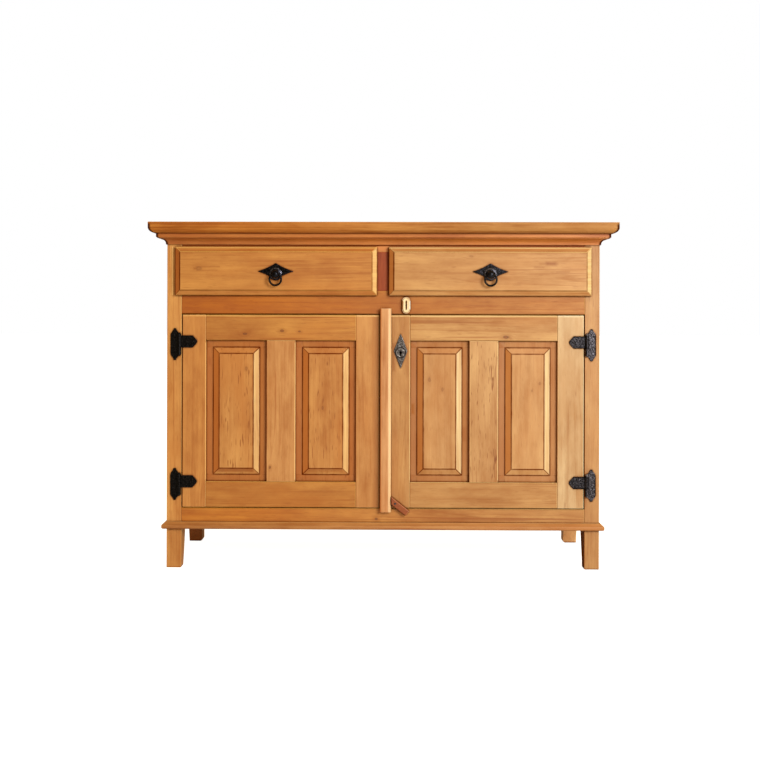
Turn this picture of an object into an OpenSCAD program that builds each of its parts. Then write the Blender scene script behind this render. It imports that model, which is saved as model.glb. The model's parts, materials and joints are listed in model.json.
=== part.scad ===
// Rustic pine buffet cabinet: two drawers over two framed doors, on short tapered legs.
// Millimetres. X runs left to right, Y from front to back, Z up. The origin is on the
// floor under the middle of the crown's box.

/* [Overall] */
// Width over the crown moulding
top_w = 1200; // [1100:10:1400]
// Depth over the crown moulding
top_d = 465; // [440:5:560]
// Height from the floor to the top
total_h = 890; // [860:5:960]

/* [Crown] */
// How far the top board stands past the body at the front and the sides
top_overhang = 43; // [42:1:56]
// Thickness of the top board
top_t = 28; // [24:1:34]
// Height of the square part of the top board's edge
top_square_h = 14; // [8:1:18]
// Depth of the rounded part under that edge
top_round_d = 16; // [8:1:17]
// Height of the cornice moulding
cornice_h = 28; // [24:1:32]
// How far the cornice stands past the body
cornice_reach = 25; // [18:1:26]
// Height of the flat band along the top of the cornice
cornice_band_h = 10; // [6:1:12]
// Width and height of the small steps at both ends of the cornice's hollow
cornice_step = 2; // [1:0.5:3]

/* [Posts and legs] */
// Width of each corner post, seen from the front
post_w = 38; // [34:1:46]
// Depth of each corner post
post_d = 70; // [62:1:80]
// Height of the legs under the body
leg_h = 101; // [70:1:120]
// Depth of a leg at the floor
foot_d = 36; // [26:1:50]
// Radius of the front legs' inner bottom corners
front_foot_r = 2.5; // [1:0.5:6]
// Radius of the rear legs' inner bottom corners
rear_foot_r = 8; // [2:1:12]

/* [Front frame] */
// Thickness of the rails in the frame
rail_t = 22; // [20:1:25]
// Height of the rail under the top board
top_rail_h = 46; // [44:1:56]
// Height of the rail between the drawers and the doors
drawer_rail_h = 60; // [54:1:70]
// Height of the rail under the doors
lower_rail_h = 54; // [46:1:64]
// Width of the upright between the drawers
divider_w = 58; // [50:1:70]
// Height of the drawer openings
drawer_open_h = 101; // [90:1:120]

/* [Wood joints] */
// Length of the tenons on the rails
tenon_l = 25; // [18:1:27]
// Thickness of the tenons
tenon_t = 8; // [6:1:8]
// Depth of the grooves that hold the panels
groove_d = 8; // [6:1:9]
// Clearance in tenons and grooves
joint_gap = 0.2; // [0.1:0.05:0.3]

/* [Base moulding] */
// Height of the base moulding
base_h = 18; // [14:1:26]
// How far the base moulding stands past the body
base_reach = 12; // [8:1:18]
// Radius of the moulding's nose
base_nose_r = 5; // [3:0.5:6]
// Height of the curve above the nose
base_curve_h = 3.2; // [2:0.2:5]

/* [Sides, back and inside] */
// Height of the upper side and back rails
upper_side_rail_h = 62; // [50:1:76]
// Height of the lower side and back rails
lower_side_rail_h = 64; // [58:1:76]
// Thickness of the back boards
back_board_t = 10; // [8:1:14]
// Number of back boards
back_board_count = 6; // [4:1:8]
// Gap between two back boards
back_board_gap = 0.8; // [0.4:0.1:1.5]
// How far the back boards reach over the faces of the back rails
back_board_lap = 45; // [30:1:48]
// Thickness of the bottom board and the shelf
board_t = 18; // [15:1:20]
// Height of the shelf above the bottom board
shelf_rise = 245; // [200:5:280]
// How far the shelf's front edge stays behind the doors
shelf_setback = 38; // [34:1:70]
// Width and height of the square cleats
cleat_w = 20; // [16:1:24]
// Distance that a shelf cleat's ends stay short of the doors and the back
cleat_inset = 18; // [10:1:24]
// Clearance round a loose or sliding wooden board
board_gap = 0.5; // [0.3:0.1:0.8]
// How far the door stop hangs below the drawer rail
stop_drop = 15; // [10:1:18]
// Height of the door stop's seat on the drawer rail
stop_seat_h = 40; // [30:1:45]
// Thickness of the door stop
stop_t = 15; // [14:1:20]

/* [Doors] */
// Thickness of the doors
door_t = 22; // [20:1:25]
// How far the doors stand in front of the frame
door_proud = 0.5; // [0.4:0.1:1]
// Gap above and below the doors
door_gap_z = 1.8; // [0.5:0.1:2.5]
// Gap between a door and its post
door_gap_x = 2.4; // [1:0.1:3]
// Gap between the two doors
meeting_gap = 2; // [1.8:0.1:3]
// Place of the gap between the doors, across the cabinet
meeting_x = -8; // [-20:1:0]
// Width of the left door's hinge stile
left_hinge_stile_w = 60.5; // [56:0.5:76]
// Width of the left door's meeting stile
left_meeting_stile_w = 60; // [58:0.5:76]
// Width of the right door's meeting stile
right_meeting_stile_w = 77.5; // [74:0.5:90]
// Width of the right door's hinge stile
right_hinge_stile_w = 67.5; // [56:0.5:80]
// Width of the upright between a door's panels
muntin_w = 75; // [60:1:90]
// Height of a door's top and bottom rails
door_rail_h = 66; // [56:1:80]

/* [Fielded panels] */
// Thickness of a panel's flat margin
margin_t = 8; // [6:0.5:9]
// Width of the margin that shows inside the frame
margin_w = 18; // [10:1:24]
// How much the margin falls towards the field
margin_fall = 0.8; // [0:0.1:1.5]
// How far the margin lies behind the frame's face
margin_recess = 9; // [8:0.5:9.5]
// Height of the small step at the foot of the bevel
bevel_foot = 1; // [0.5:0.1:2]
// Width of the bevel
bevel_w = 16; // [8:0.5:18]
// How far the bevel rises
bevel_rise = 5.5; // [2:0.5:6]
// Height of the step from the bevel up to the field
field_step = 1; // [0.5:0.1:1.5]

/* [Meeting strip] */
// Width of the strip over the meeting of the doors
strip_w = 29; // [24:1:32]
// How far the strip stands in front of the doors
strip_t = 14; // [10:1:18]
// Radius of the strip's edge at the meeting
strip_left_r = 4; // [2:0.5:6]
// Radius of the strip's edge towards the right door
strip_right_r = 9; // [5:0.5:9.5]
// How far the strip runs past the top of the doors
strip_over_top = 16.8; // [8:0.1:20]
// How far the strip runs past the bottom of the doors
strip_over_bottom = 9.8; // [4:0.1:14]

/* [Drawers] */
// Thickness of a drawer front at its field
front_t = 18; // [16:1:22]
// Thickness of a drawer front at its edge
front_edge_t = 10; // [8:0.5:11]
// Width of a drawer front's bevel
front_bevel_w = 13; // [9:0.5:18]
// Height of the step from that bevel up to the field
front_step = 2; // [1:0.5:4]
// How far a drawer front covers the rails above and below
front_lap_z = 12; // [8:1:14]
// How far a drawer front covers the post
front_lap_post = 16; // [10:1:20]
// How far a drawer front covers the upright between the drawers
front_lap_mid = 14; // [10:1:18]
// Gap between a drawer's sides and the back boards
drawer_rear_gap = 30; // [10:1:60]
// Thickness of a drawer's sides and back
drawer_side_t = 12; // [10:1:15]
// Height of a drawer's sides
drawer_side_h = 92; // [70:1:95]
// How far a drawer's back stays below its sides
drawer_back_drop = 6; // [0:1:12]
// How far a drawer's sides stand past its back
drawer_side_over = 6; // [3:1:15]
// Thickness of a drawer's bottom
drawer_bottom_t = 6; // [4:1:8]
// Height of the groove for a drawer's bottom, above the sides' lower edge
drawer_bottom_lift = 10; // [8:1:16]
// Depth of the grooves in a drawer's sides and front
drawer_groove_d = 6; // [4:0.5:7]
// Gap between a drawer and the frame it slides in
drawer_gap = 0.3; // [0.2:0.05:0.6]
// Clearance between a drawer's side and the upright beside it
drawer_side_gap = 2; // [1:0.5:3]
// Width of the outer runners
runner_w = 30; // [24:1:40]
// Height of the runners, guides and kickers
runner_h = 20; // [14:1:22]
// How far the middle guide stays inside the runner under it, on both sides
guide_inset = 2; // [0:0.5:4]

/* [Hinges] */
// Height of the lower hinges above the floor
lower_hinge_z = 216; // [205:1:260]
// Distance from the upper hinges down from the top of the doors
upper_hinge_drop = 76.4; // [60:0.1:110]
// Radius of the hinge barrels
barrel_r = 5.2; // [4.6:0.1:5.8]
// Gap between the barrels and the posts
barrel_gap = 0.3; // [0.2:0.1:0.6]
// Length of the barrel
barrel_h = 54; // [52:1:58]
// Height of the leaf on the door, which is the middle knuckle too
leaf_h = 31; // [26:1:32]
// How far the leaf's middle lies above the barrel's middle
leaf_up = 7; // [0:0.5:7.5]
// Length of the leaf from the pin
leaf_l = 46; // [38:1:50]
// Length of the leaf's pointed end
leaf_point_l = 12; // [6:1:14]
// Thickness of the hinge plates
plate_t = 2.5; // [2:0.1:3]
// Width of the post's plate from the pin
plate_w = 23; // [22:0.5:28]
// Height of the straight part of the post's plate
plate_h = 50; // [46:1:58]
// Height of each shaped end of the post's plate
plate_tip_h = 16; // [12:1:22]
// Radius of the hinge pins
pin_r = 2.5; // [2:0.1:3]
// Radial running clearance on pins and bolts
run_gap = 0.08; // [0.03:0.01:0.1]
// Gap between two knuckles
knuckle_gap = 0.3; // [0.2:0.05:0.6]
// Clearance round the leaf's knuckle in the post's plate
knuckle_clear = 0.4; // [0.3:0.05:0.8]

/* [Screws] */
// Radius of a screw's head
screw_head_r = 2.9; // [2.4:0.1:3.2]
// Height of a screw's head
screw_head_h = 1.1; // [0.8:0.1:1.6]
// Radius of a screw's shank
screw_r = 1.5; // [1.2:0.1:1.8]
// Depth that a screw goes into the wood
screw_l = 14; // [10:1:16]

/* [Pulls] */
// Width of the diamond plate
pull_w = 91; // [80:1:100]
// Height of the diamond plate
pull_h = 42; // [36:1:50]
// How far the diamond's sides curve inwards
pull_hollow = 1.6; // [0:0.1:2.5]
// Height of the plate's middle above the middle of the drawer front
pull_rise = -1; // [-4:0.5:4]
// Radius of the domed rosette
rosette_r = 17; // [14:0.5:19]
// Height of the domed rosette
rosette_h = 5; // [3:0.5:5.5]
// Distance of the ring's pivot in front of the drawer front
ring_axis_out = 13; // [12:0.5:13.5]
// Distance of the ring's pivot below the plate's middle
ring_axis_drop = 6; // [4:0.5:8]
// Radius of the ring to the middle of its wire
ring_r = 15; // [14:0.5:18]
// Radius of the ring's wire
ring_wire_r = 2.6; // [2:0.1:2.8]
// Radius of the ball that holds the ring
ball_r = 11; // [10:0.5:11.5]
// Distance of the ball's middle below the ring's pivot
ball_drop = 2; // [0:0.5:3]
// Clearance round the ring's wire in the ball
ring_gap = 0.35; // [0.25:0.05:0.5]
// Radius of the threaded stud behind the plate
stud_r = 2.5; // [2:0.1:3]
// How far the stud stands behind the drawer front
stud_out = 7; // [5:0.5:10]

/* [Lock and bolt] */
// Distance of the keyhole from the right door's meeting edge
keyhole_in = 53; // [50:0.5:56]
// Distance of the keyhole below the top of the doors
keyhole_drop = 96.6; // [90:0.1:130]
// Width of the escutcheon
escutcheon_w = 35; // [30:1:40]
// Height of the escutcheon
escutcheon_h = 90; // [70:1:100]
// Height of the escutcheon's middle above the keyhole
escutcheon_rise = 4; // [0:0.5:8]
// Thickness of the escutcheon
escutcheon_t = 2; // [1.5:0.1:3]
// Radius of the collar round the keyhole
collar_r = 12.5; // [10:0.5:14]
// How far the collar stands in front of the escutcheon
collar_t = 2; // [1:0.5:3]
// Radius of the keyhole's round part
keyhole_r = 3.2; // [2.5:0.1:4]
// Length of the keyhole's slot below its middle
keyhole_l = 10; // [7:0.5:11]
// Depth of the lock's case behind the door
lock_t = 13; // [12:0.5:16]
// Height of the lock's case
lock_h = 74; // [66:1:84]
// Distance of the case's ends from the meeting edge
lock_in = 4; // [3:0.5:6]
// Width of the lock's case
lock_w = 63; // [60:1:66]
// Distance of the case's lower edge below the keyhole
lock_drop = 30.3; // [24:0.1:31]
// Height of the lock's bolt
lock_bolt_h = 15; // [10:1:16]
// Thickness of the lock's bolt
lock_bolt_t = 6; // [5:0.5:7]
// Length of the lock's bolt
lock_bolt_l = 40; // [30:1:42]
// How far the lock's bolt slides
lock_throw = 10; // [6:0.5:11]
// Width of the keeper on the left door
keeper_w = 28; // [24:1:30]
// How far the keeper stands past its slot, above and below
keeper_margin = 7; // [5:0.5:9]
// Clearance round the lock's bolt
bolt_gap = 0.3; // [0.2:0.05:0.5]
// Distance of the lock's bolt and the keeper from their doors' meeting edges
bolt_inset = 0.5; // [0.3:0.1:1]
// Free space past a bolt's end when it is thrown or drawn back
bolt_clear = 1.5; // [1:0.1:2]
// Radius of the slide bolt's rod
rod_r = 3; // [2.5:0.1:3.2]
// Distance of the rod from the left door's meeting edge
rod_in = 45; // [44:0.5:47]
// Length of the slide bolt's rod
rod_l = 78; // [70:1:90]
// How far the slide bolt slides
rod_throw = 14; // [10:1:15]
// Thickness of the slide bolt's plate
rod_plate_t = 2; // [1.5:0.1:2.5]
// Width of the slide bolt's plate
rod_plate_w = 20; // [16:1:22]
// Gap between the rod and its plate
rod_lift = 2; // [1:0.5:3]
// How far the rod's drawn end stands above the plate
rod_over = 3; // [1:0.5:5]
// Height of the slide bolt's staples
staple_h = 8; // [6:1:10]
// Thickness of the staples' walls
staple_wall = 2.5; // [2:0.5:3.5]

/* [Turn buttons] */
// Width of the oval button above the right door
oval_w = 20.5; // [16:0.5:26]
// Height of the oval button
oval_h = 42; // [36:1:46]
// Thickness of the oval button
oval_t = 11; // [8:0.5:14]
// Place of the oval button, across the cabinet
oval_x = 60; // [48:1:80]
// Distance of the oval button below the middle between drawer and door
oval_drop = 0.5; // [0:0.1:1]
// Width of the oval button's slot
oval_slot_w = 4; // [3:0.5:6]
// Length of the oval button's slot
oval_slot_l = 24; // [18:1:28]
// Depth of the oval button's slot
oval_slot_d = 5; // [3:0.5:7]
// Length of the stick button
stick_l = 66; // [60:1:70]
// Length of the stick button above its screw
stick_upper = 25.7; // [22:0.1:27]
// Width of the stick button
stick_w = 15; // [12:0.5:18]
// Thickness of the stick button
stick_t = 12; // [9:0.5:14]
// Slope of the stick button
stick_tilt = 38; // [30:1:45]
// Distance of the stick button's screw from the strip
stick_in = 10.5; // [10:0.5:14]
// Height of the stick button's screw above the door's lower edge
stick_up = 12; // [12:0.5:16]
// Gap between the stick button and what lies beside and behind it
stick_gap = 0.5; // [0.3:0.1:0.8]

/* [Hidden] */

pine = "#c98543";
pine_dark = "#a9652c";
pine_pale = "#f0cf98";
pine_inner = "#cfa271";
iron = "#2a2523";

// Planes of the body
body_w = top_w - 2 * top_overhang;
y_front = -top_d / 2 + top_overhang;
y_back = top_d / 2;
post_in = body_w / 2 - post_w;
z_top = total_h - top_t;
z_drawer_top = z_top - top_rail_h;
z_drawer = z_drawer_top - drawer_open_h;
z_door_top = z_drawer - drawer_rail_h;
z_door = leg_h + lower_rail_h;
y_rail_back = y_front + rail_t;
y_rail_mid = y_front + rail_t / 2;
y_boards = y_back - rail_t - back_board_t;
side_rail_x = body_w / 2 - rail_t / 2;
side_y0 = y_front + post_d;
side_y1 = y_back - post_d;
side_z0 = leg_h + lower_side_rail_h;
side_z1 = z_top - upper_side_rail_h;
tenon_shoulder = groove_d + joint_gap;

// The rails between the posts, as [lower edge, height]
front_rails = [
    [z_drawer_top, top_rail_h],
    [z_door_top, drawer_rail_h],
    [leg_h, lower_rail_h]
];
side_rail_rows = [
    [side_z1, upper_side_rail_h],
    [leg_h, lower_side_rail_h]
];

// Planes of the doors
y_door = y_front - door_proud;
y_door_back = y_door + door_t;
y_door_mid = y_door + door_t / 2;
door_z0 = z_door + door_gap_z;
door_z1 = z_door_top - door_gap_z;
panel_z0 = door_z0 + door_rail_h;
panel_z1 = door_z1 - door_rail_h;
panel_back_y = y_door + margin_recess + margin_t;
door_edge = post_in - door_gap_x;

// Each door as [left edge, right edge, left stile, right stile]
left_door = [-door_edge, meeting_x - meeting_gap / 2, left_hinge_stile_w, left_meeting_stile_w];
right_door = [meeting_x + meeting_gap / 2, door_edge, right_meeting_stile_w, right_hinge_stile_w];
strip_x1 = right_door[0] + strip_w;

// A panel's outline from its edge to its field, as [distance in, thickness]
panel_steps = [
    [0, margin_t],
    [groove_d, margin_t],
    [groove_d + margin_w, margin_t - margin_fall],
    [groove_d + margin_w, margin_t + bevel_foot],
    [groove_d + margin_w + bevel_w, margin_t + bevel_foot + bevel_rise],
    [groove_d + margin_w + bevel_w, margin_t + bevel_foot + bevel_rise + field_step]
];
front_steps = [
    [0, front_edge_t],
    [front_bevel_w, front_t - front_step],
    [front_bevel_w, front_t]
];

// Planes of the drawers
front_x0 = divider_w / 2 - front_lap_mid;
front_x1 = post_in + front_lap_post;
front_w = front_x1 - front_x0;
front_mid_x = (front_x0 + front_x1) / 2;
front_z0 = z_drawer - front_lap_z;
front_h = drawer_open_h + 2 * front_lap_z;
y_front_back = y_front - drawer_gap;
y_field = y_front_back - front_t;
box_x0 = divider_w / 2 + drawer_side_gap;
box_x1 = post_in - drawer_side_gap;
box_z0 = z_drawer + drawer_gap;
box_y1 = y_boards - drawer_rear_gap;
drawer_floor_z = box_z0 + drawer_bottom_lift + drawer_bottom_t;
drawer_back_z = box_z0 + drawer_side_h - drawer_back_drop;

// Hinge places
pin_x = post_in + barrel_r + barrel_gap;
pin_y = y_front - barrel_r - barrel_gap;
hinge_zs = [lower_hinge_z, door_z1 - upper_hinge_drop];

// Screws in a post's plate and in a door's leaf, as [x, z] from the pin
plate_screws = [
    [0.46 * plate_w, 0.5 * plate_h + 0.3 * plate_tip_h],
    [0.46 * plate_w, -0.5 * plate_h - 0.3 * plate_tip_h],
    [0.72 * plate_w, 0.22 * plate_h],
    [0.72 * plate_w, -0.22 * plate_h]
];
leaf_screws = [
    [-0.4 * leaf_l, 0.27 * leaf_h],
    [-0.4 * leaf_l, -0.27 * leaf_h],
    [-0.74 * leaf_l, 0]
];

// A pin's head: radius at the barrel, radius at the tip, height
pin_head = [0.8 * barrel_r, 0.4 * barrel_r, 0.6 * barrel_r];

// Lock, bolt, pull and button places
keyhole_x = right_door[0] + keyhole_in;
keyhole_z = door_z1 - keyhole_drop;
lock_x0 = right_door[0] + lock_in;
lock_z0 = keyhole_z - lock_drop;
bolt_z0 = keyhole_z + keyhole_r + collar_r;
bolt_y = y_door_back + lock_t / 2;
bolt_x0 = right_door[0] + bolt_inset;
rod_x = left_door[1] - rod_in;
rod_y = y_door_back + rod_plate_t + rod_r + rod_lift;
rod_z1 = z_door_top - stop_drop - bolt_clear;
pull_z = front_z0 + front_h / 2 + pull_rise;
ring_y = y_field - ring_axis_out;
ring_z = pull_z - ring_axis_drop;
oval_z = (z_door_top + front_z0) / 2 - oval_drop;
stick_x = strip_x1 + stick_in;
stick_z = door_z0 + stick_up;

// Places on the slide bolt's rod, as shares of its length down from its end
staple_shares = [0.86, 0.26];
knob_share = 0.6;

// The pull's nut
nut_r = 2 * stud_r;
nut_h = 1.6 * stud_r;

// The head of the oval button's screw, in the slot
oval_screw_r = 0.46 * oval_slot_w;
oval_screw_h = 1;

// Number of sides on round things
round_fn = 64;
// Number of steps in a moulding's curve
curve_steps = 8;

// Points on an arc or part of an ellipse, from angle a0 to a1
function arc(c, rx, ry, a0, a1) = [
    for (i = [0 : curve_steps])
        c + [rx * cos(a0 + (a1 - a0) * i / curve_steps), ry * sin(a0 + (a1 - a0) * i / curve_steps)]
];

// The closed outline of a fielded board of the given length, back at zero
function fielded(length, steps) = concat(
    [[-length / 2, 0], [length / 2, 0]],
    [for (s = steps) [length / 2 - s[0], s[1]]],
    [for (i = [len(steps) - 1 : -1 : 0]) [steps[i][0] - length / 2, steps[i][1]]]
);

// The left edge of panel 0 or 1 of a door, and the width of its opening
function opening_w(d) = (d[1] - d[0] - d[2] - d[3] - muntin_w) / 2;
function opening_x(d, i) = d[0] + d[2] + i * (opening_w(d) + muntin_w);

// A block between two corners
module block(lo, hi) {
    translate(lo)
        cube(hi - lo);
}

// A flat outline drawn in Y and Z, drawn out along X
module along_x(length) {
    rotate([90, 0, 90])
        linear_extrude(length, center = true)
            children();
}

// A flat outline drawn in X and Z, drawn out along Y
module along_y(length) {
    rotate([90, 0, 0])
        linear_extrude(length, center = true)
            children();
}

// Both hands of something modelled on the right
module both_sides() {
    for (side = [0, 1])
        mirror([side, 0, 0])
            children();
}

// A board with a raised field on its front, centred on X and Z, back at y = 0
module fielded_board(w, h, steps) {
    intersection() {
        linear_extrude(h, center = true)
            mirror([0, 1, 0])
                polygon(fielded(w, steps));
        along_x(w)
            rotate(90)
                polygon(fielded(h, steps));
    }
}

// The tenons of a rail that runs along X, with a gap round them for the mortises
module tenons_x(x0, x1, y, row, gap) {
    block(
        [x0 - tenon_l - gap, y - tenon_t / 2 - gap, row[0] + tenon_shoulder - gap],
        [x1 + tenon_l + gap, y + tenon_t / 2 + gap, row[0] + row[1] - tenon_shoulder + gap]
    );
}

module rail_x(x0, x1, y, row) {
    block([x0, y - rail_t / 2, row[0]], [x1, y + rail_t / 2, row[0] + row[1]]);
    tenons_x(x0, x1, y, row, 0);
}

// The tenons of a side rail, which runs along Y
module tenons_y(row, gap) {
    block(
        [side_rail_x - tenon_t / 2 - gap, side_y0 - tenon_l - gap, row[0] + tenon_shoulder - gap],
        [side_rail_x + tenon_t / 2 + gap, side_y1 + tenon_l + gap, row[0] + row[1] - tenon_shoulder + gap]
    );
}

// The slot that a side panel fills in the posts and the side rails
module side_panel_slot() {
    grow = groove_d + joint_gap;
    block(
        [body_w / 2 - margin_recess - margin_t - joint_gap, side_y0 - grow, side_z0 - grow],
        [body_w / 2 - margin_recess + joint_gap, side_y1 + grow, side_z1 + grow]
    );
}

module top_board() {
    half_w = top_w / 2;
    half_d = top_d / 2;
    round_h = top_t - top_square_h;
    color(pine)
        intersection() {
            along_x(top_w)
                polygon(concat(
                    [[half_d, total_h], [-half_d, total_h]],
                    arc([top_round_d - half_d, total_h - top_square_h], top_round_d, round_h, 180, 270),
                    [[half_d, z_top]]
                ));
            along_y(top_d)
                polygon(concat(
                    [[half_w, total_h], [-half_w, total_h]],
                    arc([top_round_d - half_w, total_h - top_square_h], top_round_d, round_h, 180, 270),
                    arc([half_w - top_round_d, total_h - top_square_h], top_round_d, round_h, 270, 360)
                ));
        }
}

// A moulding's outline as [distance out from the body, height]
function cornice_outline() = concat(
    [[0, z_top - cornice_h], [cornice_step + 1, z_top - cornice_h]],
    arc(
        [cornice_reach - cornice_step, z_top - cornice_h + cornice_step],
        cornice_reach - 2 * cornice_step - 1,
        cornice_h - cornice_band_h - 2 * cornice_step,
        180, 90
    ),
    [
        [cornice_reach - cornice_step, z_top - cornice_band_h],
        [cornice_reach, z_top - cornice_band_h],
        [cornice_reach, z_top],
        [0, z_top]
    ]
);

function base_outline() = concat(
    [[0, leg_h]],
    arc([base_reach - base_nose_r, leg_h + base_nose_r], base_nose_r, base_nose_r, 270, 360),
    arc([base_reach - base_nose_r, leg_h + base_h / 2], base_nose_r, base_curve_h, 0, 60),
    [[base_reach / 4, leg_h + base_h], [0, leg_h + base_h]]
);

// A moulding along the front, mitred at both corners
module front_moulding(outline, reach) {
    intersection() {
        along_x(body_w + 2 * reach)
            polygon([for (p = outline) [y_front - p[0], p[1]]]);
        linear_extrude(total_h)
            polygon([
                [-body_w / 2, y_front],
                [-body_w / 2 - reach, y_front - reach],
                [body_w / 2 + reach, y_front - reach],
                [body_w / 2, y_front]
            ]);
    }
}

// The same moulding along the right side
module side_moulding(outline, reach) {
    intersection() {
        translate([0, (y_front - reach + y_back) / 2, 0])
            along_y(y_back - y_front + reach)
                polygon([for (p = outline) [body_w / 2 + p[0], p[1]]]);
        linear_extrude(total_h)
            polygon([
                [body_w / 2, y_front],
                [body_w / 2 + reach, y_front - reach],
                [body_w / 2 + reach, y_back],
                [body_w / 2, y_back]
            ]);
    }
}

module cornice_front() {
    color(pine)
        front_moulding(cornice_outline(), cornice_reach);
}

module cornice_sides() {
    color(pine)
        both_sides()
            side_moulding(cornice_outline(), cornice_reach);
}

module base_moulding_front() {
    color(pine)
        front_moulding(base_outline(), base_reach);
}

module base_moulding_sides() {
    color(pine)
        both_sides()
            side_moulding(base_outline(), base_reach);
}

// A post's blank: its leg tapers on the side away from the face, and its foot is rounded
module post_blank(face_y, into, foot_r) {
    intersection() {
        translate([post_in + post_w / 2, 0, 0])
            along_x(post_w)
                polygon([
                    [face_y, 0],
                    [face_y + into * foot_d, 0],
                    [face_y + into * post_d, leg_h],
                    [face_y + into * post_d, z_top],
                    [face_y, z_top]
                ]);
        along_y(2 * top_d)
            polygon(concat(
                arc([post_in + foot_r, foot_r], foot_r, foot_r, 270, 180),
                [[post_in, z_top], [post_in + post_w, z_top], [post_in + post_w, 0]]
            ));
    }
}

module front_post() {
    difference() {
        post_blank(y_front, 1, front_foot_r);
        for (row = front_rails)
            tenons_x(0, post_in, y_rail_mid, row, joint_gap);
        for (row = side_rail_rows)
            tenons_y(row, joint_gap);
        side_panel_slot();
        for (z = hinge_zs)
            translate([pin_x, y_front, z])
                screw_holes(plate_screws);
    }
}

module rear_post() {
    difference() {
        post_blank(y_back, -1, rear_foot_r);
        for (row = side_rail_rows) {
            tenons_x(0, post_in, y_back - rail_t / 2, row, joint_gap);
            tenons_y(row, joint_gap);
        }
        side_panel_slot();
    }
}

module front_post_left() {
    color(pine)
        mirror([1, 0, 0])
            front_post();
}

module front_post_right() {
    color(pine)
        front_post();
}

module rear_post_left() {
    color(pine)
        mirror([1, 0, 0])
            rear_post();
}

module rear_post_right() {
    color(pine)
        rear_post();
}

module top_front_rail() {
    color(pine)
        difference() {
            rail_x(-post_in, post_in, y_rail_mid, front_rails[0]);
            divider_tenon(joint_gap);
        }
}

module drawer_rail() {
    color(pine)
        difference() {
            rail_x(-post_in, post_in, y_rail_mid, front_rails[1]);
            divider_tenon(joint_gap);
            translate([oval_x, y_front, oval_z])
                screw_holes([[0, 0]]);
        }
}

module lower_front_rail() {
    color(pine)
        rail_x(-post_in, post_in, y_rail_mid, front_rails[2]);
}

// The upright's tenons, at both ends
module divider_tenon(gap) {
    block(
        [-divider_w / 4 - gap, y_rail_mid - tenon_t / 2 - gap, z_drawer - tenon_l / 2 - gap],
        [divider_w / 4 + gap, y_rail_mid + tenon_t / 2 + gap, z_drawer_top + tenon_l / 2 + gap]
    );
}

module drawer_divider() {
    color(pine_dark) {
        block([-divider_w / 2, y_front, z_drawer], [divider_w / 2, y_rail_back, z_drawer_top]);
        divider_tenon(0);
    }
}

module side_rails() {
    color(pine)
        both_sides()
            difference() {
                for (row = side_rail_rows) {
                    block(
                        [side_rail_x - rail_t / 2, side_y0, row[0]],
                        [side_rail_x + rail_t / 2, side_y1, row[0] + row[1]]
                    );
                    tenons_y(row, 0);
                }
                side_panel_slot();
            }
}

module side_panels() {
    w = side_y1 - side_y0 + 2 * groove_d;
    h = side_z1 - side_z0 + 2 * groove_d;
    color(pine)
        both_sides()
            translate([
                body_w / 2 - margin_recess - margin_t,
                (side_y0 + side_y1) / 2,
                (side_z0 + side_z1) / 2
            ])
                rotate([0, 0, 90])
                    fielded_board(w, h, panel_steps);
}

module back_rails() {
    color(pine_inner)
        for (row = side_rail_rows)
            rail_x(-post_in, post_in, y_back - rail_t / 2, row);
}

module back_boards() {
    pitch = 2 * post_in / back_board_count;
    z0 = side_z0 - back_board_lap;
    z1 = side_z1 + back_board_lap;
    color(pine_inner)
        for (i = [0 : back_board_count - 1])
            block(
                [-post_in + i * pitch + (i > 0 ? back_board_gap : 0), y_boards, z0],
                [-post_in + (i + 1) * pitch, y_boards + back_board_t, z1]
            );
}

module bottom_board() {
    reach = side_rail_x - rail_t / 2;
    color(pine_inner)
        difference() {
            block([-reach, y_rail_back, z_door - board_t], [reach, y_boards, z_door]);
            both_sides() {
                block([post_in, y_front, 0], [body_w, side_y0 + board_gap, z_top]);
                block([post_in, side_y1 - board_gap, 0], [body_w, y_back, z_top]);
            }
        }
}

module shelf() {
    color(pine_inner)
        block(
            [board_gap - post_in, y_door_back + shelf_setback, z_door + shelf_rise],
            [post_in - board_gap, y_boards - board_gap, z_door + shelf_rise + board_t]
        );
}

// Cleats under the bottom board, on the side rails and behind the lower rail, and under the shelf
module cleats() {
    rail_in = side_rail_x - rail_t / 2;
    z_board = z_door - board_t;
    z_shelf = z_door + shelf_rise;
    color(pine_inner) {
        block([-post_in, y_rail_back, z_board - cleat_w], [post_in, y_rail_back + cleat_w, z_board]);
        both_sides() {
            block([rail_in - cleat_w, side_y0, z_board - cleat_w], [rail_in, side_y1, z_board]);
            block(
                [post_in - cleat_w, y_door_back + cleat_inset, z_shelf - cleat_w],
                [post_in, y_boards - cleat_inset / 2, z_shelf]
            );
        }
    }
}

// The lath that the doors close against, with a hole for the slide bolt
module door_stop() {
    z0 = z_door_top - stop_drop;
    color(pine_inner)
        difference() {
            block([-post_in, y_rail_back, z0], [post_in, y_rail_back + stop_t, z_door_top + stop_seat_h]);
            translate([rod_x, rod_y, z0 - 1])
                cylinder(r = rod_r + 2 * bolt_gap, h = rod_throw + 2 * bolt_clear + 1, $fn = round_fn);
        }
}

module drawer_runners() {
    z0 = z_drawer - runner_h;
    color(pine_inner) {
        block([-divider_w / 2, y_rail_back, z0], [divider_w / 2, y_boards, z_drawer]);
        both_sides()
            block([post_in - runner_w, y_rail_back, z0], [post_in, y_boards, z_drawer]);
    }
}

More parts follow.
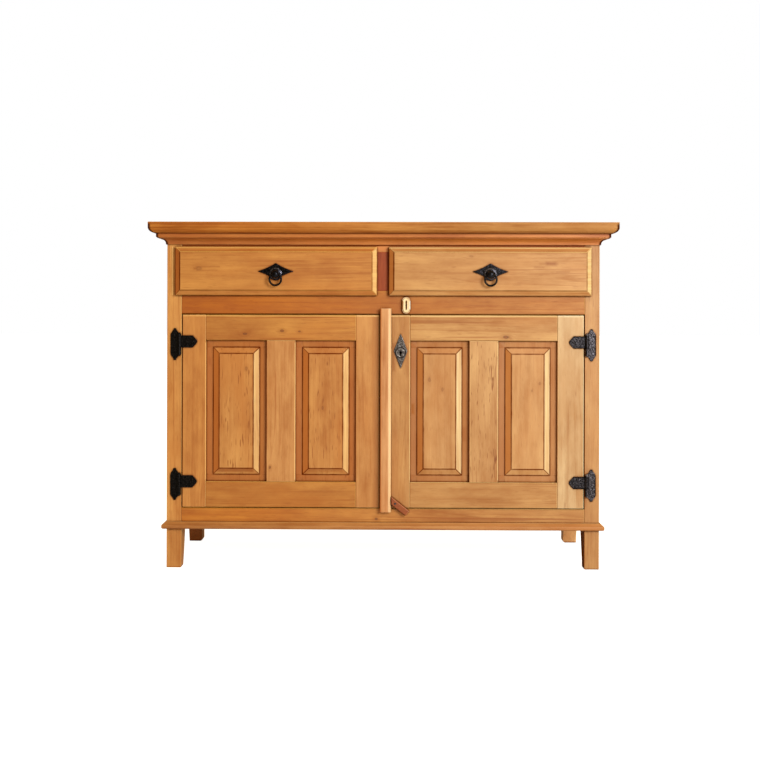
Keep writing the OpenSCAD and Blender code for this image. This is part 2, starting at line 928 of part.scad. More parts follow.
// Guides beside the drawers, and kickers above them that stop them from tipping
module drawer_guides() {
    rail_in = side_rail_x - rail_t / 2;
    color(pine_inner) {
        block(
            [guide_inset - divider_w / 2, y_rail_back, z_drawer],
            [divider_w / 2 - guide_inset, y_boards, z_drawer + runner_h]
        );
        block(
            [-divider_w / 2, y_rail_back, z_drawer_top],
            [divider_w / 2, y_boards, z_drawer_top + runner_h]
        );
        both_sides() {
            block(
                [post_in, side_y0, z_drawer - runner_h],
                [body_w / 2 - margin_recess - margin_t, side_y1, z_drawer + runner_h]
            );
            block(
                [post_in - runner_w, y_rail_back, z_drawer_top],
                [post_in, y_boards, z_drawer_top + runner_h]
            );
        }
    }
}

// Holes for screws at [x, z] places round a point on a face that looks along -Y
module screw_holes(places) {
    for (p = places)
        translate([p[0], 0, p[1]])
            rotate([-90, 0, 0])
                cylinder(r = screw_r + run_gap, h = 2 * (screw_l + 1), center = true, $fn = 32);
}

// Screws through something of thickness t that lies on that face
module screws(places, t) {
    for (p = places)
        translate([p[0], -t, p[1]])
            rotate([-90, 0, 0]) {
                translate([0, 0, -screw_head_h])
                    cylinder(r1 = 0.6 * screw_head_r, r2 = screw_head_r, h = screw_head_h, $fn = 32);
                cylinder(r = screw_r, h = t + screw_l, $fn = 32);
            }
}

// The outline of a post's plate, from the pin outwards
function plate_outline() =
    let (
        half = [
            [0, 0], [0.06, 0.2], [0.27, 0.62], [0.34, 0.7], [0.36, 0.92], [0.44, 1],
            [0.58, 1], [0.66, 0.92], [0.68, 0.7], [0.75, 0.62], [0.95, 0.2], [1, 0]
        ]
    )
    concat(
        [for (p = half) [p[0] * plate_w, plate_h / 2 + p[1] * plate_tip_h]],
        [for (i = [len(half) - 1 : -1 : 0])
            [half[i][0] * plate_w, -plate_h / 2 - half[i][1] * plate_tip_h]]
    );

function leaf_outline() = [
    [0, leaf_h / 2],
    [leaf_point_l - leaf_l, leaf_h / 2],
    [0.2 * leaf_point_l - leaf_l, leaf_h / 6],
    [-leaf_l, 0],
    [0.2 * leaf_point_l - leaf_l, -leaf_h / 6],
    [leaf_point_l - leaf_l, -leaf_h / 2],
    [0, -leaf_h / 2]
];

module hinge_plate() {
    leaf_room = leaf_h / 2 + knuckle_gap;
    difference() {
        union() {
            translate([0, y_front - pin_y - plate_t / 2, 0])
                along_y(plate_t)
                    polygon(plate_outline());
            translate([0, 0, leaf_up + leaf_room])
                cylinder(r = barrel_r, h = barrel_h / 2 - leaf_up - leaf_room, $fn = round_fn);
            translate([0, 0, -barrel_h / 2])
                cylinder(r = barrel_r, h = barrel_h / 2 + leaf_up - leaf_room, $fn = round_fn);
        }
        cylinder(r = pin_r + run_gap, h = 2 * barrel_h, center = true, $fn = round_fn);
        translate([0, 0, leaf_up])
            cylinder(r = barrel_r + knuckle_clear, h = 2 * leaf_room, center = true, $fn = round_fn);
        for (side = [0, 1])
            mirror([0, 0, side])
                translate([0, 0, barrel_h / 2])
                    cylinder(
                        r = pin_head[0] + knuckle_clear,
                        h = pin_head[2] + knuckle_clear,
                        $fn = round_fn
                    );
        translate([0, y_front - pin_y, 0])
            screw_holes(plate_screws);
    }
}

module hinge_leaf() {
    difference() {
        union() {
            translate([0, y_door - pin_y - plate_t / 2, leaf_up])
                along_y(plate_t)
                    polygon(leaf_outline());
            translate([0, 0, leaf_up])
                cylinder(r = barrel_r, h = leaf_h, center = true, $fn = round_fn);
        }
        cylinder(r = pin_r + run_gap, h = 2 * barrel_h, center = true, $fn = round_fn);
        translate([0, y_door - pin_y, leaf_up])
            screw_holes(leaf_screws);
    }
}

// The pin and its two heads, which rest on the ends of the barrel
module hinge_pin() {
    cylinder(r = pin_r, h = barrel_h + 1, center = true, $fn = round_fn);
    for (side = [0, 1])
        mirror([0, 0, side])
            translate([0, 0, barrel_h / 2])
                cylinder(r1 = pin_head[0], r2 = pin_head[1], h = pin_head[2], $fn = round_fn);
}

// Something at both hinges of the right side
module at_hinges() {
    for (z = hinge_zs)
        translate([pin_x, pin_y, z])
            children();
}

module hinge_post_plates() {
    color(iron)
        both_sides()
            at_hinges()
                hinge_plate();
}

module hinge_pins() {
    color(iron)
        both_sides()
            at_hinges()
                hinge_pin();
}

module carcass_screws() {
    color(iron) {
        both_sides()
            at_hinges()
                translate([0, y_front - pin_y, 0])
                    screws(plate_screws, plate_t);
        translate([oval_x, y_front, oval_z])
            rotate([-90, 0, 0]) {
                translate([0, 0, oval_slot_d - oval_t - oval_screw_h])
                    cylinder(r = oval_screw_r, h = oval_screw_h, $fn = 32);
                translate([0, 0, oval_slot_d - oval_t])
                    cylinder(r = screw_r, h = oval_t - oval_slot_d + screw_l, $fn = 32);
            }
    }
}

module left_hinge_leaves() {
    color(iron)
        mirror([1, 0, 0])
            at_hinges()
                hinge_leaf();
}

module right_hinge_leaves() {
    color(iron)
        at_hinges()
            hinge_leaf();
}

module leaf_screw_set() {
    at_hinges()
        translate([0, y_door - pin_y, leaf_up])
            screws(leaf_screws, plate_t);
}

module leaf_screw_holes() {
    at_hinges()
        translate([0, y_door - pin_y, leaf_up])
            screw_holes(leaf_screws);
}

module left_door_screws() {
    color(iron)
        mirror([1, 0, 0])
            leaf_screw_set();
}

module right_door_screws() {
    color(iron) {
        leaf_screw_set();
        translate([stick_x, y_door, stick_z])
            screws([[0, 0]], stick_t);
    }
}

// The slots that a door's two panels fill in its frame
module panel_slots(d) {
    grow = groove_d + joint_gap;
    for (i = [0, 1])
        block(
            [opening_x(d, i) - grow, y_door + margin_recess - joint_gap, panel_z0 - grow],
            [opening_x(d, i) + opening_w(d) + grow, panel_back_y + joint_gap, panel_z1 + grow]
        );
}

module door_rail_tenons(d, gap) {
    for (row = [[door_z0, door_rail_h], [panel_z1, door_rail_h]])
        tenons_x(d[0] + d[2], d[1] - d[3], y_door_mid, row, gap);
}

module muntin_tenons(d, gap) {
    x0 = opening_x(d, 0) + opening_w(d);
    block(
        [x0 + tenon_shoulder - gap, y_door_mid - tenon_t / 2 - gap, panel_z0 - tenon_l - gap],
        [x0 + muntin_w - tenon_shoulder + gap, y_door_mid + tenon_t / 2 + gap, panel_z1 + tenon_l + gap]
    );
}

// A stile from x0 to x1 of door d
module stile(d, x0, x1) {
    difference() {
        block([x0, y_door, door_z0], [x1, y_door_back, door_z1]);
        door_rail_tenons(d, joint_gap);
        panel_slots(d);
    }
}

module door_rails(d) {
    difference() {
        union() {
            for (z = [door_z0, panel_z1])
                block([d[0] + d[2], y_door, z], [d[1] - d[3], y_door_back, z + door_rail_h]);
            door_rail_tenons(d, 0);
        }
        muntin_tenons(d, joint_gap);
        panel_slots(d);
    }
}

module muntin(d) {
    x0 = opening_x(d, 0) + opening_w(d);
    difference() {
        union() {
            block([x0, y_door, panel_z0], [x0 + muntin_w, y_door_back, panel_z1]);
            muntin_tenons(d, 0);
        }
        panel_slots(d);
    }
}

module panels(d) {
    for (i = [0, 1])
        translate([opening_x(d, i) + opening_w(d) / 2, panel_back_y, (panel_z0 + panel_z1) / 2])
            fielded_board(opening_w(d) + 2 * groove_d, panel_z1 - panel_z0 + 2 * groove_d, panel_steps);
}

module left_hinge_stile() {
    color(pine)
        difference() {
            stile(left_door, left_door[0], left_door[0] + left_door[2]);
            mirror([1, 0, 0])
                leaf_screw_holes();
        }
}

module left_meeting_stile() {
    color(pine)
        stile(left_door, left_door[1] - left_door[3], left_door[1]);
}

module left_door_rails() {
    color(pine)
        door_rails(left_door);
}

module left_muntin() {
    color(pine)
        muntin(left_door);
}

module left_panels() {
    color(pine)
        panels(left_door);
}

module right_hinge_stile() {
    color(pine)
        difference() {
            stile(right_door, right_door[1] - right_door[3], right_door[1]);
            leaf_screw_holes();
        }
}

module right_meeting_stile() {
    color(pine)
        difference() {
            stile(right_door, right_door[0], right_door[0] + right_door[2]);
            keyhole(y_door_mid, 2 * door_t);
            translate([stick_x, y_door, stick_z])
                screw_holes([[0, 0]]);
        }
}

module right_door_rails() {
    color(pine)
        door_rails(right_door);
}

module right_muntin() {
    color(pine)
        muntin(right_door);
}

module right_panels() {
    color(pine)
        panels(right_door);
}

module meeting_strip() {
    x0 = right_door[0];
    y0 = y_door - strip_t;
    left_r = strip_left_r;
    right_r = strip_right_r;
    color(pine)
        translate([0, 0, door_z0 - strip_over_bottom])
            linear_extrude(door_z1 - door_z0 + strip_over_bottom + strip_over_top)
                polygon(concat(
                    [[x0, y_door]],
                    arc([x0 + left_r, y0 + left_r], left_r, left_r, 180, 270),
                    arc([strip_x1 - right_r, y0 + right_r], right_r, right_r, 270, 360),
                    [[strip_x1, y_door]]
                ));
}

// The keyhole's round hole and slot, of length t about the plane y
module keyhole(y, t) {
    translate([keyhole_x, y, keyhole_z])
        rotate([90, 0, 0])
            cylinder(r = keyhole_r, h = t, center = true, $fn = round_fn);
    block(
        [keyhole_x - keyhole_r / 2, y - t / 2, keyhole_z - keyhole_l],
        [keyhole_x + keyhole_r / 2, y + t / 2, keyhole_z]
    );
}

module escutcheon() {
    w = escutcheon_w / 2;
    h = escutcheon_h / 2;
    color(iron)
        difference() {
            union() {
                translate([keyhole_x, y_door - escutcheon_t / 2, keyhole_z + escutcheon_rise])
                    along_y(escutcheon_t)
                        polygon([[0, h], [w, 0], [0, -h], [-w, 0]]);
                translate([keyhole_x, y_door, keyhole_z])
                    rotate([90, 0, 0])
                        cylinder(r = collar_r, h = escutcheon_t + collar_t, $fn = round_fn);
            }
            keyhole(y_door, 4 * (escutcheon_t + collar_t));
        }
}

// A rim lock on the back of the right door
module lock_case() {
    wall = (lock_t - lock_bolt_t) / 2 - bolt_gap;
    slot_x1 = bolt_x0 + lock_bolt_l + bolt_clear;
    slot_z1 = bolt_z0 + lock_bolt_h + bolt_gap;
    color(iron)
        difference() {
            block(
                [lock_x0, y_door_back, lock_z0],
                [lock_x0 + lock_w, y_door_back + lock_t, lock_z0 + lock_h]
            );
            block(
                [lock_x0 - 1, y_door_back + wall, bolt_z0 - bolt_gap],
                [slot_x1, y_door_back + lock_t - wall, slot_z1]
            );
            keyhole(y_door_back, lock_t);
        }
}

module lock_bolt() {
    color(iron)
        block(
            [bolt_x0, bolt_y - lock_bolt_t / 2, bolt_z0],
            [bolt_x0 + lock_bolt_l, bolt_y + lock_bolt_t / 2, bolt_z0 + lock_bolt_h]
        );
}

// The lock's keeper, on the back of the left door's meeting stile
module lock_keeper() {
    x1 = left_door[1] - bolt_inset;
    slot_x = bolt_x0 - lock_throw - bolt_clear;
    slot_t = lock_bolt_t + 2 * bolt_gap;
    color(iron)
        difference() {
            block(
                [x1 - keeper_w, y_door_back, bolt_z0 - keeper_margin],
                [x1, y_door_back + lock_t, bolt_z0 + lock_bolt_h + keeper_margin]
            );
            block(
                [slot_x, bolt_y - slot_t / 2, bolt_z0 - bolt_gap],
                [x1 + 1, bolt_y + slot_t / 2, bolt_z0 + lock_bolt_h + bolt_gap]
            );
        }
}

// The slide bolt's plate and two staples, on the back of the left door
module slide_bolt_plate() {
    staple_r = rod_r + staple_wall;
    color(iron)
        difference() {
            union() {
                block(
                    [rod_x - rod_plate_w / 2, y_door_back, rod_z1 - rod_l],
                    [rod_x + rod_plate_w / 2, y_door_back + rod_plate_t, rod_z1 - rod_over]
                );
                for (share = staple_shares)
                    translate([rod_x, 0, rod_z1 - share * rod_l])
                        block([-staple_r, y_door_back, 0], [staple_r, rod_y + staple_r, staple_h]);
            }
            translate([rod_x, rod_y, 0])
                cylinder(r = rod_r + run_gap, h = total_h, $fn = round_fn);
        }
}

module slide_bolt() {
    color(iron) {
        translate([rod_x, rod_y, rod_z1 - rod_l])
            cylinder(r = rod_r, h = rod_l, $fn = round_fn);
        translate([rod_x, rod_y, rod_z1 - knob_share * rod_l])
            rotate([-90, 0, 0])
                cylinder(r = rod_r, h = 4 * rod_r, $fn = round_fn);
    }
}

// A flat shape with round ends, thick along -Y from y = 0
module stadium(w, h, t) {
    straight = h - w;
    block([-w / 2, -t, -straight / 2], [w / 2, 0, straight / 2]);
    for (z = [-straight / 2, straight / 2])
        translate([0, 0, z])
            rotate([90, 0, 0])
                cylinder(r = w / 2, h = t, $fn = round_fn);
}

module upper_turn_button() {
    edge = oval_t / 4;
    color(pine_pale)
        translate([oval_x, y_front, oval_z])
            difference() {
                union() {
                    stadium(oval_w, oval_h, oval_t - edge);
                    stadium(oval_w - 2 * edge, oval_h - 2 * edge, oval_t);
                }
                translate([0, oval_slot_d - oval_t, 0])
                    stadium(oval_slot_w, oval_slot_l, 2 * oval_slot_d);
                rotate([-90, 0, 0])
                    cylinder(r = screw_r + run_gap, h = 3 * oval_t, center = true, $fn = 32);
            }
}

module lower_turn_button() {
    color(pine_dark)
        difference() {
            intersection() {
                translate([stick_x, y_door, stick_z])
                    rotate([0, stick_tilt, 0])
                        block(
                            [-stick_upper, -stick_t, -stick_w / 2],
                            [stick_l - stick_upper, 0, stick_w / 2]
                        );
                block([strip_x1 + stick_gap, -top_d, 0], [top_w, top_d, total_h]);
            }
            translate([stick_x, y_door, stick_z])
                rotate([-90, 0, 0])
                    cylinder(r = screw_r + run_gap, h = 3 * stick_t, center = true, $fn = 32);
        }
}

// What is let into the back of a drawer front: the box's sides and bottom
module drawer_sides(gap) {
    lead = drawer_groove_d;
    for (x = [box_x0, box_x1 - drawer_side_t])
        block(
            [x - gap, y_front_back - lead - gap, box_z0 - gap],
            [x + drawer_side_t + gap, box_y1, box_z0 + drawer_side_h + gap]
        );
}

module drawer_bottom_blank(gap) {
    lead = drawer_groove_d;
    z0 = box_z0 + drawer_bottom_lift;
    block(
        [box_x0 + drawer_side_t - lead - gap, y_front_back - lead - gap, z0 - gap],
        [box_x1 - drawer_side_t + lead + gap, box_y1 + gap, z0 + drawer_bottom_t + gap]
    );
}

module drawer_front() {
    difference() {
        translate([front_mid_x, y_front_back, front_z0 + front_h / 2])
            fielded_board(front_w, front_h, front_steps);
        drawer_sides(joint_gap);
        drawer_bottom_blank(joint_gap);
        translate([front_mid_x, y_field, ring_z])
            rotate([90, 0, 0])
                cylinder(r = stud_r + run_gap, h = 4 * front_t, center = true, $fn = 32);
    }
}

// A drawer's back, let into its sides and standing on its bottom
module drawer_back(gap) {
    lead = drawer_groove_d / 2;
    y1 = box_y1 - drawer_side_over;
    block(
        [box_x0 + drawer_side_t - lead - gap, y1 - drawer_side_t - gap, drawer_floor_z + joint_gap - gap],
        [box_x1 - drawer_side_t + lead + gap, y1 + gap, drawer_back_z + gap]
    );
}

module drawer_box() {
    difference() {
        drawer_sides(0);
        drawer_bottom_blank(joint_gap);
        drawer_back(joint_gap);
    }
    drawer_back(0);
}

// Half of a diamond's side, curved in by the hollow, from corner a to corner b
function hollow_side(a, b) = [
    for (i = [0 : curve_steps - 1])
        let (t = i / curve_steps, n = [b[1] - a[1], a[0] - b[0]] / norm(b - a))
        a + (b - a) * t + n * pull_hollow * sin(180 * t)
];

// How far the ring's wire can reach from its pivot, at a distance x along it
function ring_reach(x) =
    let (rise = sqrt(ring_r * ring_r - x * x))
    ring_r - rise + (ring_wire_r + ring_gap) * ring_r / rise;

// The iron plate, its domed rosette and the ball that holds the ring, with the nut inside
module pull_plate() {
    corners = [[0, pull_h / 2], [pull_w / 2, 0], [0, -pull_h / 2], [-pull_w / 2, 0]];
    dome_r = (rosette_r * rosette_r + rosette_h * rosette_h) / (2 * rosette_h);
    dome_a = asin(rosette_r / dome_r);
    cut_half = ball_r + 1;
    translate([front_mid_x, 0, 0]) {
        difference() {
            union() {
                translate([0, y_field - plate_t / 2, pull_z])
                    along_y(plate_t)
                        polygon([for (i = [0 : 3]) each hollow_side(corners[i], corners[(i + 1) % 4])]);
                translate([0, y_field - plate_t, ring_z])
                    rotate([90, 0, 0])
                        rotate_extrude($fn = round_fn)
                            polygon(concat(
                                [[0, -plate_t], [rosette_r, -plate_t]],
                                [for (i = [0 : curve_steps - 1])
                                    let (a = dome_a * (1 - i / curve_steps))
                                    [dome_r * sin(a), rosette_h - dome_r * (1 - cos(a))]],
                                [[0, rosette_h]]
                            ));
                translate([0, ring_y, ring_z - ball_drop])
                    rotate([0, 90, 0])
                        sphere(r = ball_r, $fn = round_fn);
                translate([0, y_field - plate_t / 2, ring_z])
                    rotate([-90, 0, 0])
                        cylinder(r = stud_r, h = plate_t / 2 + front_t + stud_out, $fn = 32);
            }
            translate([0, ring_y, ring_z])
                rotate([0, 90, 0])
                    rotate_extrude($fn = round_fn)
                        polygon(concat(
                            [[0, cut_half], [0, -cut_half]],
                            [for (i = [-curve_steps : curve_steps])
                                let (x = cut_half * i / curve_steps)
                                [ring_reach(x), x]]
                        ));
        }
        translate([0, y_front_back, ring_z])
            rotate([-90, 0, 0])
                difference() {
                    cylinder(r = nut_r, h = nut_h, $fn = 6);
                    cylinder(r = stud_r + run_gap, h = 3 * nut_h, center = true, $fn = 32);
                }
    }
}

module pull_ring() {
    translate([front_mid_x, ring_y, ring_z - ring_r])
        rotate([90, 0, 0])
            rotate_extrude($fn = round_fn)
                translate([ring_r, 0])
                    circle(r = ring_wire_r, $fn = 32);
}

module left_side() {
    mirror([1, 0, 0])
        children();
}

module left_drawer_front() {
    color(pine)
        left_side()
            drawer_front();
}

module left_drawer_box() {
    color(pine_inner)
        left_side()
            drawer_box();
}

module left_drawer_bottom() {
    color(pine_inner)
        left_side()
            drawer_bottom_blank(0);
}

module left_pull_plate() {
    color(iron)
        left_side()
            pull_plate();
}

module left_pull_ring() {
    color(iron)
        left_side()
            pull_ring();
}

module right_drawer_front() {
    color(pine)
        drawer_front();
}

module right_drawer_box() {
    color(pine_inner)
        drawer_box();
}

module right_drawer_bottom() {
    color(pine_inner)
        drawer_bottom_blank(0);
}

module right_pull_plate() {
    color(iron)
        pull_plate();
}

module right_pull_ring() {
    color(iron)
        pull_ring();
}

top_board();
cornice_front();
cornice_sides();
front_post_left();
front_post_right();
rear_post_left();
rear_post_right();
top_front_rail();
drawer_rail();
lower_front_rail();
drawer_divider();
side_rails();
side_panels();
back_rails();
back_boards();
bottom_board();
shelf();
cleats();
door_stop();
drawer_runners();
drawer_guides();
base_moulding_front();
base_moulding_sides();
hinge_post_plates();
hinge_pins();
carcass_screws();
upper_turn_button();
left_hinge_stile();
left_meeting_stile();
left_door_rails();
left_muntin();
left_panels();
left_hinge_leaves();
left_door_screws();
slide_bolt_plate();
slide_bolt();
lock_keeper();
right_hinge_stile();
right_meeting_stile();
right_door_rails();
right_muntin();
right_panels();
meeting_strip();
right_hinge_leaves();
right_door_screws();
escutcheon();
lock_case();
lock_bolt();
lower_turn_button();
left_drawer_front();
left_drawer_box();
left_drawer_bottom();
left_pull_plate();
left_pull_ring();
right_drawer_front();
right_drawer_box();
right_drawer_bottom();
right_pull_plate();
right_pull_ring();
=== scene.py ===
"""Rustic pine buffet cabinet: the looks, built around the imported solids."""
import json
import math

import bmesh
import bpy
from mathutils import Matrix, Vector


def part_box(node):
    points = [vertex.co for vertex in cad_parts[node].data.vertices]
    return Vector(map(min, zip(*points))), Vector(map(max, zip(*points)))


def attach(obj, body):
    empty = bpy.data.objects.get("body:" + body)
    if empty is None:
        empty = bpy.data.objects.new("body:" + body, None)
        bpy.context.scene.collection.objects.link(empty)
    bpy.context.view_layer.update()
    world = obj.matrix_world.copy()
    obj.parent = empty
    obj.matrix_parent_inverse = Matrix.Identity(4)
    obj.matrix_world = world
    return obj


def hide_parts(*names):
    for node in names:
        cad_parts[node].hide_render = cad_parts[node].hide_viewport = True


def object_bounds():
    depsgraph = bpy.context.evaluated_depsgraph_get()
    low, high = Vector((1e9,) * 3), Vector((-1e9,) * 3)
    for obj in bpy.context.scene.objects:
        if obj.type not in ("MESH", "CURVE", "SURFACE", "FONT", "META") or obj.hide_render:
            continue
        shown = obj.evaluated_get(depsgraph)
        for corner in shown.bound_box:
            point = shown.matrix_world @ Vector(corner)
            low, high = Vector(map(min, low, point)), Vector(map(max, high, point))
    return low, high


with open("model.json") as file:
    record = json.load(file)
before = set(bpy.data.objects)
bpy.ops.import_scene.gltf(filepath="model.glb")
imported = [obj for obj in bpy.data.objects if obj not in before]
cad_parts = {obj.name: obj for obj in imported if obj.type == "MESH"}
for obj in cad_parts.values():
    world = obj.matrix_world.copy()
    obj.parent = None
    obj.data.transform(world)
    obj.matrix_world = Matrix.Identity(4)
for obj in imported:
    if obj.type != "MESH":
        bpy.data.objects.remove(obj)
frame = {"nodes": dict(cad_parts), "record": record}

CAD_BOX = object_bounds()
MM = 0.001
AXES = "xyz"
RECORD = frame["record"]
BODY_OF = {node: body for body, nodes in RECORD["behaviour"]["bodies"].items() for node in nodes}

# Places from the CAD: the tops of doors and drawers, the gaps round the doors, and the crown
DOOR_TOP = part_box("right_hinge_stile")[1].z
DRAWER_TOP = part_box("left_drawer_front")[1].z
DOOR_GAP_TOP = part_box("drawer_rail")[0].z
DOOR_GAP_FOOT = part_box("lower_front_rail")[1].z
CROWN_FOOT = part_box("cornice_front")[0].z
CROWN_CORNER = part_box("cornice_front")[1].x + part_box("cornice_front")[0].y
# The height of the pulls' bosses, and the keyhole's middle
PULL_Z = 0.7585
KEYHOLE = (0.046, 0.0, 0.5566)
# Iron further right than this belongs to the right door's hinges
RIGHT_HINGES_X = 0.3

# Depths behind which the marks of a front stop, so that inner faces stay plain
DOOR_MARKS_Y = -0.186
PANEL_MARKS_Y = -0.179
DRAWER_MARKS_Y = -0.195
MITRE_ENDS_Y = -0.185
# Depths between which the panels' margins take up more and more stain and painted shade, darker the deeper
# they lie
MARGIN_Y = (-0.1822, -0.1814)
# How far a panel's bevel starts from its edge, and the bevels' widths, in mm
PANEL_MARGIN = 26.0
PANEL_BEVEL = 16.0
DRAWER_BEVEL = 13.0

# Arrises: how far most are rounded, in mm, and half the width of the thin painted highlights along them
USUAL_ROUND = 1.2
ARRIS_HALF = 0.6 * MM
# Edges that turn and run further than this are arrises, and rounds from this many mm on get no wear and no
# painted highlight
ARRIS_ANGLE = math.radians(28.0)
SHORTEST_ARRIS = 3.0 * MM
WIDE_ROUND = 2.0
# How much more an arris that faces up and forwards is lightened than the others: wear, and a painted
# highlight where light from above catches it
TOP_ARRIS_WEAR_AND_LIGHT = 2.4
# How far a face's normal leans before the face counts as turned, and before it takes the full painted
# highlight or shade of the side it faces
TURNED = 0.2
FULL_SUN = 0.34

# Patterns that run with the grain. Each has how many fit in a metre across the grain, through the
# board and along the grain, then the noise's detail, roughness and distortion
GRAIN = {
    # Clouds of stain, 83 by 290 mm
    "cloud": ((12.0, 12.0, 3.4), 2.5, 0.55, 0.0),
    # Bands of slower and faster growth, 26 by 380 mm
    "band": ((38.0, 38.0, 2.6), 2.0, 0.5, 0.6),
    # Streaks, 6 by 180 mm
    "streak": ((160.0, 160.0, 5.5), 2.5, 0.65, 0.0),
    # Fibres, 1.2 by 42 mm: coarser than real ones, so that they show
    "fibre": ((830.0, 830.0, 24.0), 1.0, 0.5, 0.0),
    # Mottling, 26 by 67 mm
    "mottle": ((38.0, 38.0, 15.0), 3.0, 0.6, 0.0),
    # Veins of open grain, 8 mm apart and half a metre long
    "vein": ((125.0, 125.0, 2.0), 1.0, 0.5, 0.5),
    # Pressed pores and resin ducts, 2.4 by 24 mm
    "dash": ((420.0, 420.0, 42.0), 0.0, 0.5, 0.0),
}
# The log's own wandering, 250 by 625 mm, and its whole range across and through, in metres
LOG_WANDER = (4.0, 4.0, 1.6)
LOG_SWAY = (0.05, 0.07, 0.0)
# A year's ring, in mm: wider than most real ones, so that it shows
RING_WIDTH = 9.0
# A knot is longer along the grain than across it
KNOT_SQUASH = 0.6

# What each mark makes of a board's own tone, as shares of its red, green and blue
EARLY_WOOD = (1.18, 1.28, 1.48)
LATE_WOOD = (0.71, 0.54, 0.38)
RED_STAIN = (0.93, 0.74, 0.56)
DARK_VEIN = (0.62, 0.40, 0.24)
SOFT_STAIN_AND_SHADE = (0.50, 0.26, 0.10)
PRESSED_PORE = (0.45, 0.26, 0.14)
KNOT_HALO = (0.62, 0.42, 0.26)
LIT_SLOPE_HIGHLIGHT = (1.5, 2.2, 3.2)
IN_SHADE = (0.86, 0.52, 0.24)
POOLED_STAIN_AND_SHADE = (0.68, 0.38, 0.16)
WAX_AND_SHADE_LINE = (0.26, 0.085, 0.025)
CORNER_SHADE_AND_DIRT = (0.24, 0.10, 0.035)
RUBBED_AND_LIT_ARRIS = (1.40, 1.75, 2.2)
PAINTED_ARRIS_HIGHLIGHT = (1.45, 1.9, 2.6)
MITRE_EDGE_SHADE = (0.10, 0.04, 0.02)

# Rings of painted highlight and painted shade round the iron's bosses: how far they reach, in mm, and the
# painted light at each distance from the middle
COLLAR_REACH = 20
BOSS_LIGHT_RINGS = (
    (0.0, 0.4), (6.0, 0.7), (11.0, 0.8), (13.0, 3.0), (14.5, 5.0), (16.0, 1.0), (17.5, 0.4), (19.0, 0.7))
KEYHOLE_LIGHT_RINGS = (
    (0.0, 0.35), (4.0, 0.5), (7.5, 1.1), (10.0, 2.2), (11.2, 1.2), (12.0, 0.15), (13.5, 0.35),
    (15.0, 1.0))


def linear(colour):
    """An sRGB hex colour as linear red, green, blue and alpha."""
    parts = [int(colour[i:i + 2], 16) / 255 for i in (1, 3, 5)]
    return [c / 12.92 if c <= 0.04045 else ((c + 0.055) / 1.055) ** 2.4 for c in parts] + [1.0]


def tinted(colour, shares):
    """A linear colour with its red, green and blue multiplied."""
    return [min(1.0, part * share) for part, share in zip(colour, shares)] + [1.0]


def add(tree, kind, inputs=None, stops=None, **settings):
    """Adds a node with its settings, its values and links by socket, and its ramp's stops."""
    node = tree.nodes.new(kind)
    for name, value in settings.items():
        setattr(node, name, value)
    for socket, value in (inputs or {}).items():
        if isinstance(value, bpy.types.NodeSocket):
            tree.links.new(value, node.inputs[socket])
        else:
            node.inputs[socket].default_value = value
    if stops:
        ramp = node.color_ramp.elements
        while len(ramp) < len(stops):
            ramp.new(1.0)
        for element, (at, value) in zip(ramp, stops):
            element.position = at
            element.color = value if isinstance(value, list) else (value, value, value, 1.0)
    return node


def new_material(name):
    """A bare material with its output node."""
    look = bpy.data.materials.new(name)
    look.use_nodes = True
    look.node_tree.nodes.clear()
    return look, look.node_tree, look.node_tree.nodes.new("ShaderNodeOutputMaterial")


def edge_gaps(tree, xyz, middle, level, half_w, half_h):
    """How far a point lies outside an upright rectangle: across, upwards, and whichever is more."""
    sides = []
    for place, centre, half in ((xyz[0], middle, half_w), (xyz[2], level, half_h)):
        off = add(tree, "ShaderNodeMath", {0: place, 1: centre}, operation="SUBTRACT")
        off = add(tree, "ShaderNodeMath", {0: off.outputs[0]}, operation="ABSOLUTE")
        off = add(tree, "ShaderNodeMath", {0: off.outputs[0], 1: half}, operation="SUBTRACT")
        sides.append(off.outputs[0])
    both = add(tree, "ShaderNodeMath", {0: sides[0], 1: sides[1]}, operation="MAXIMUM")
    return sides + [both.outputs[0]]


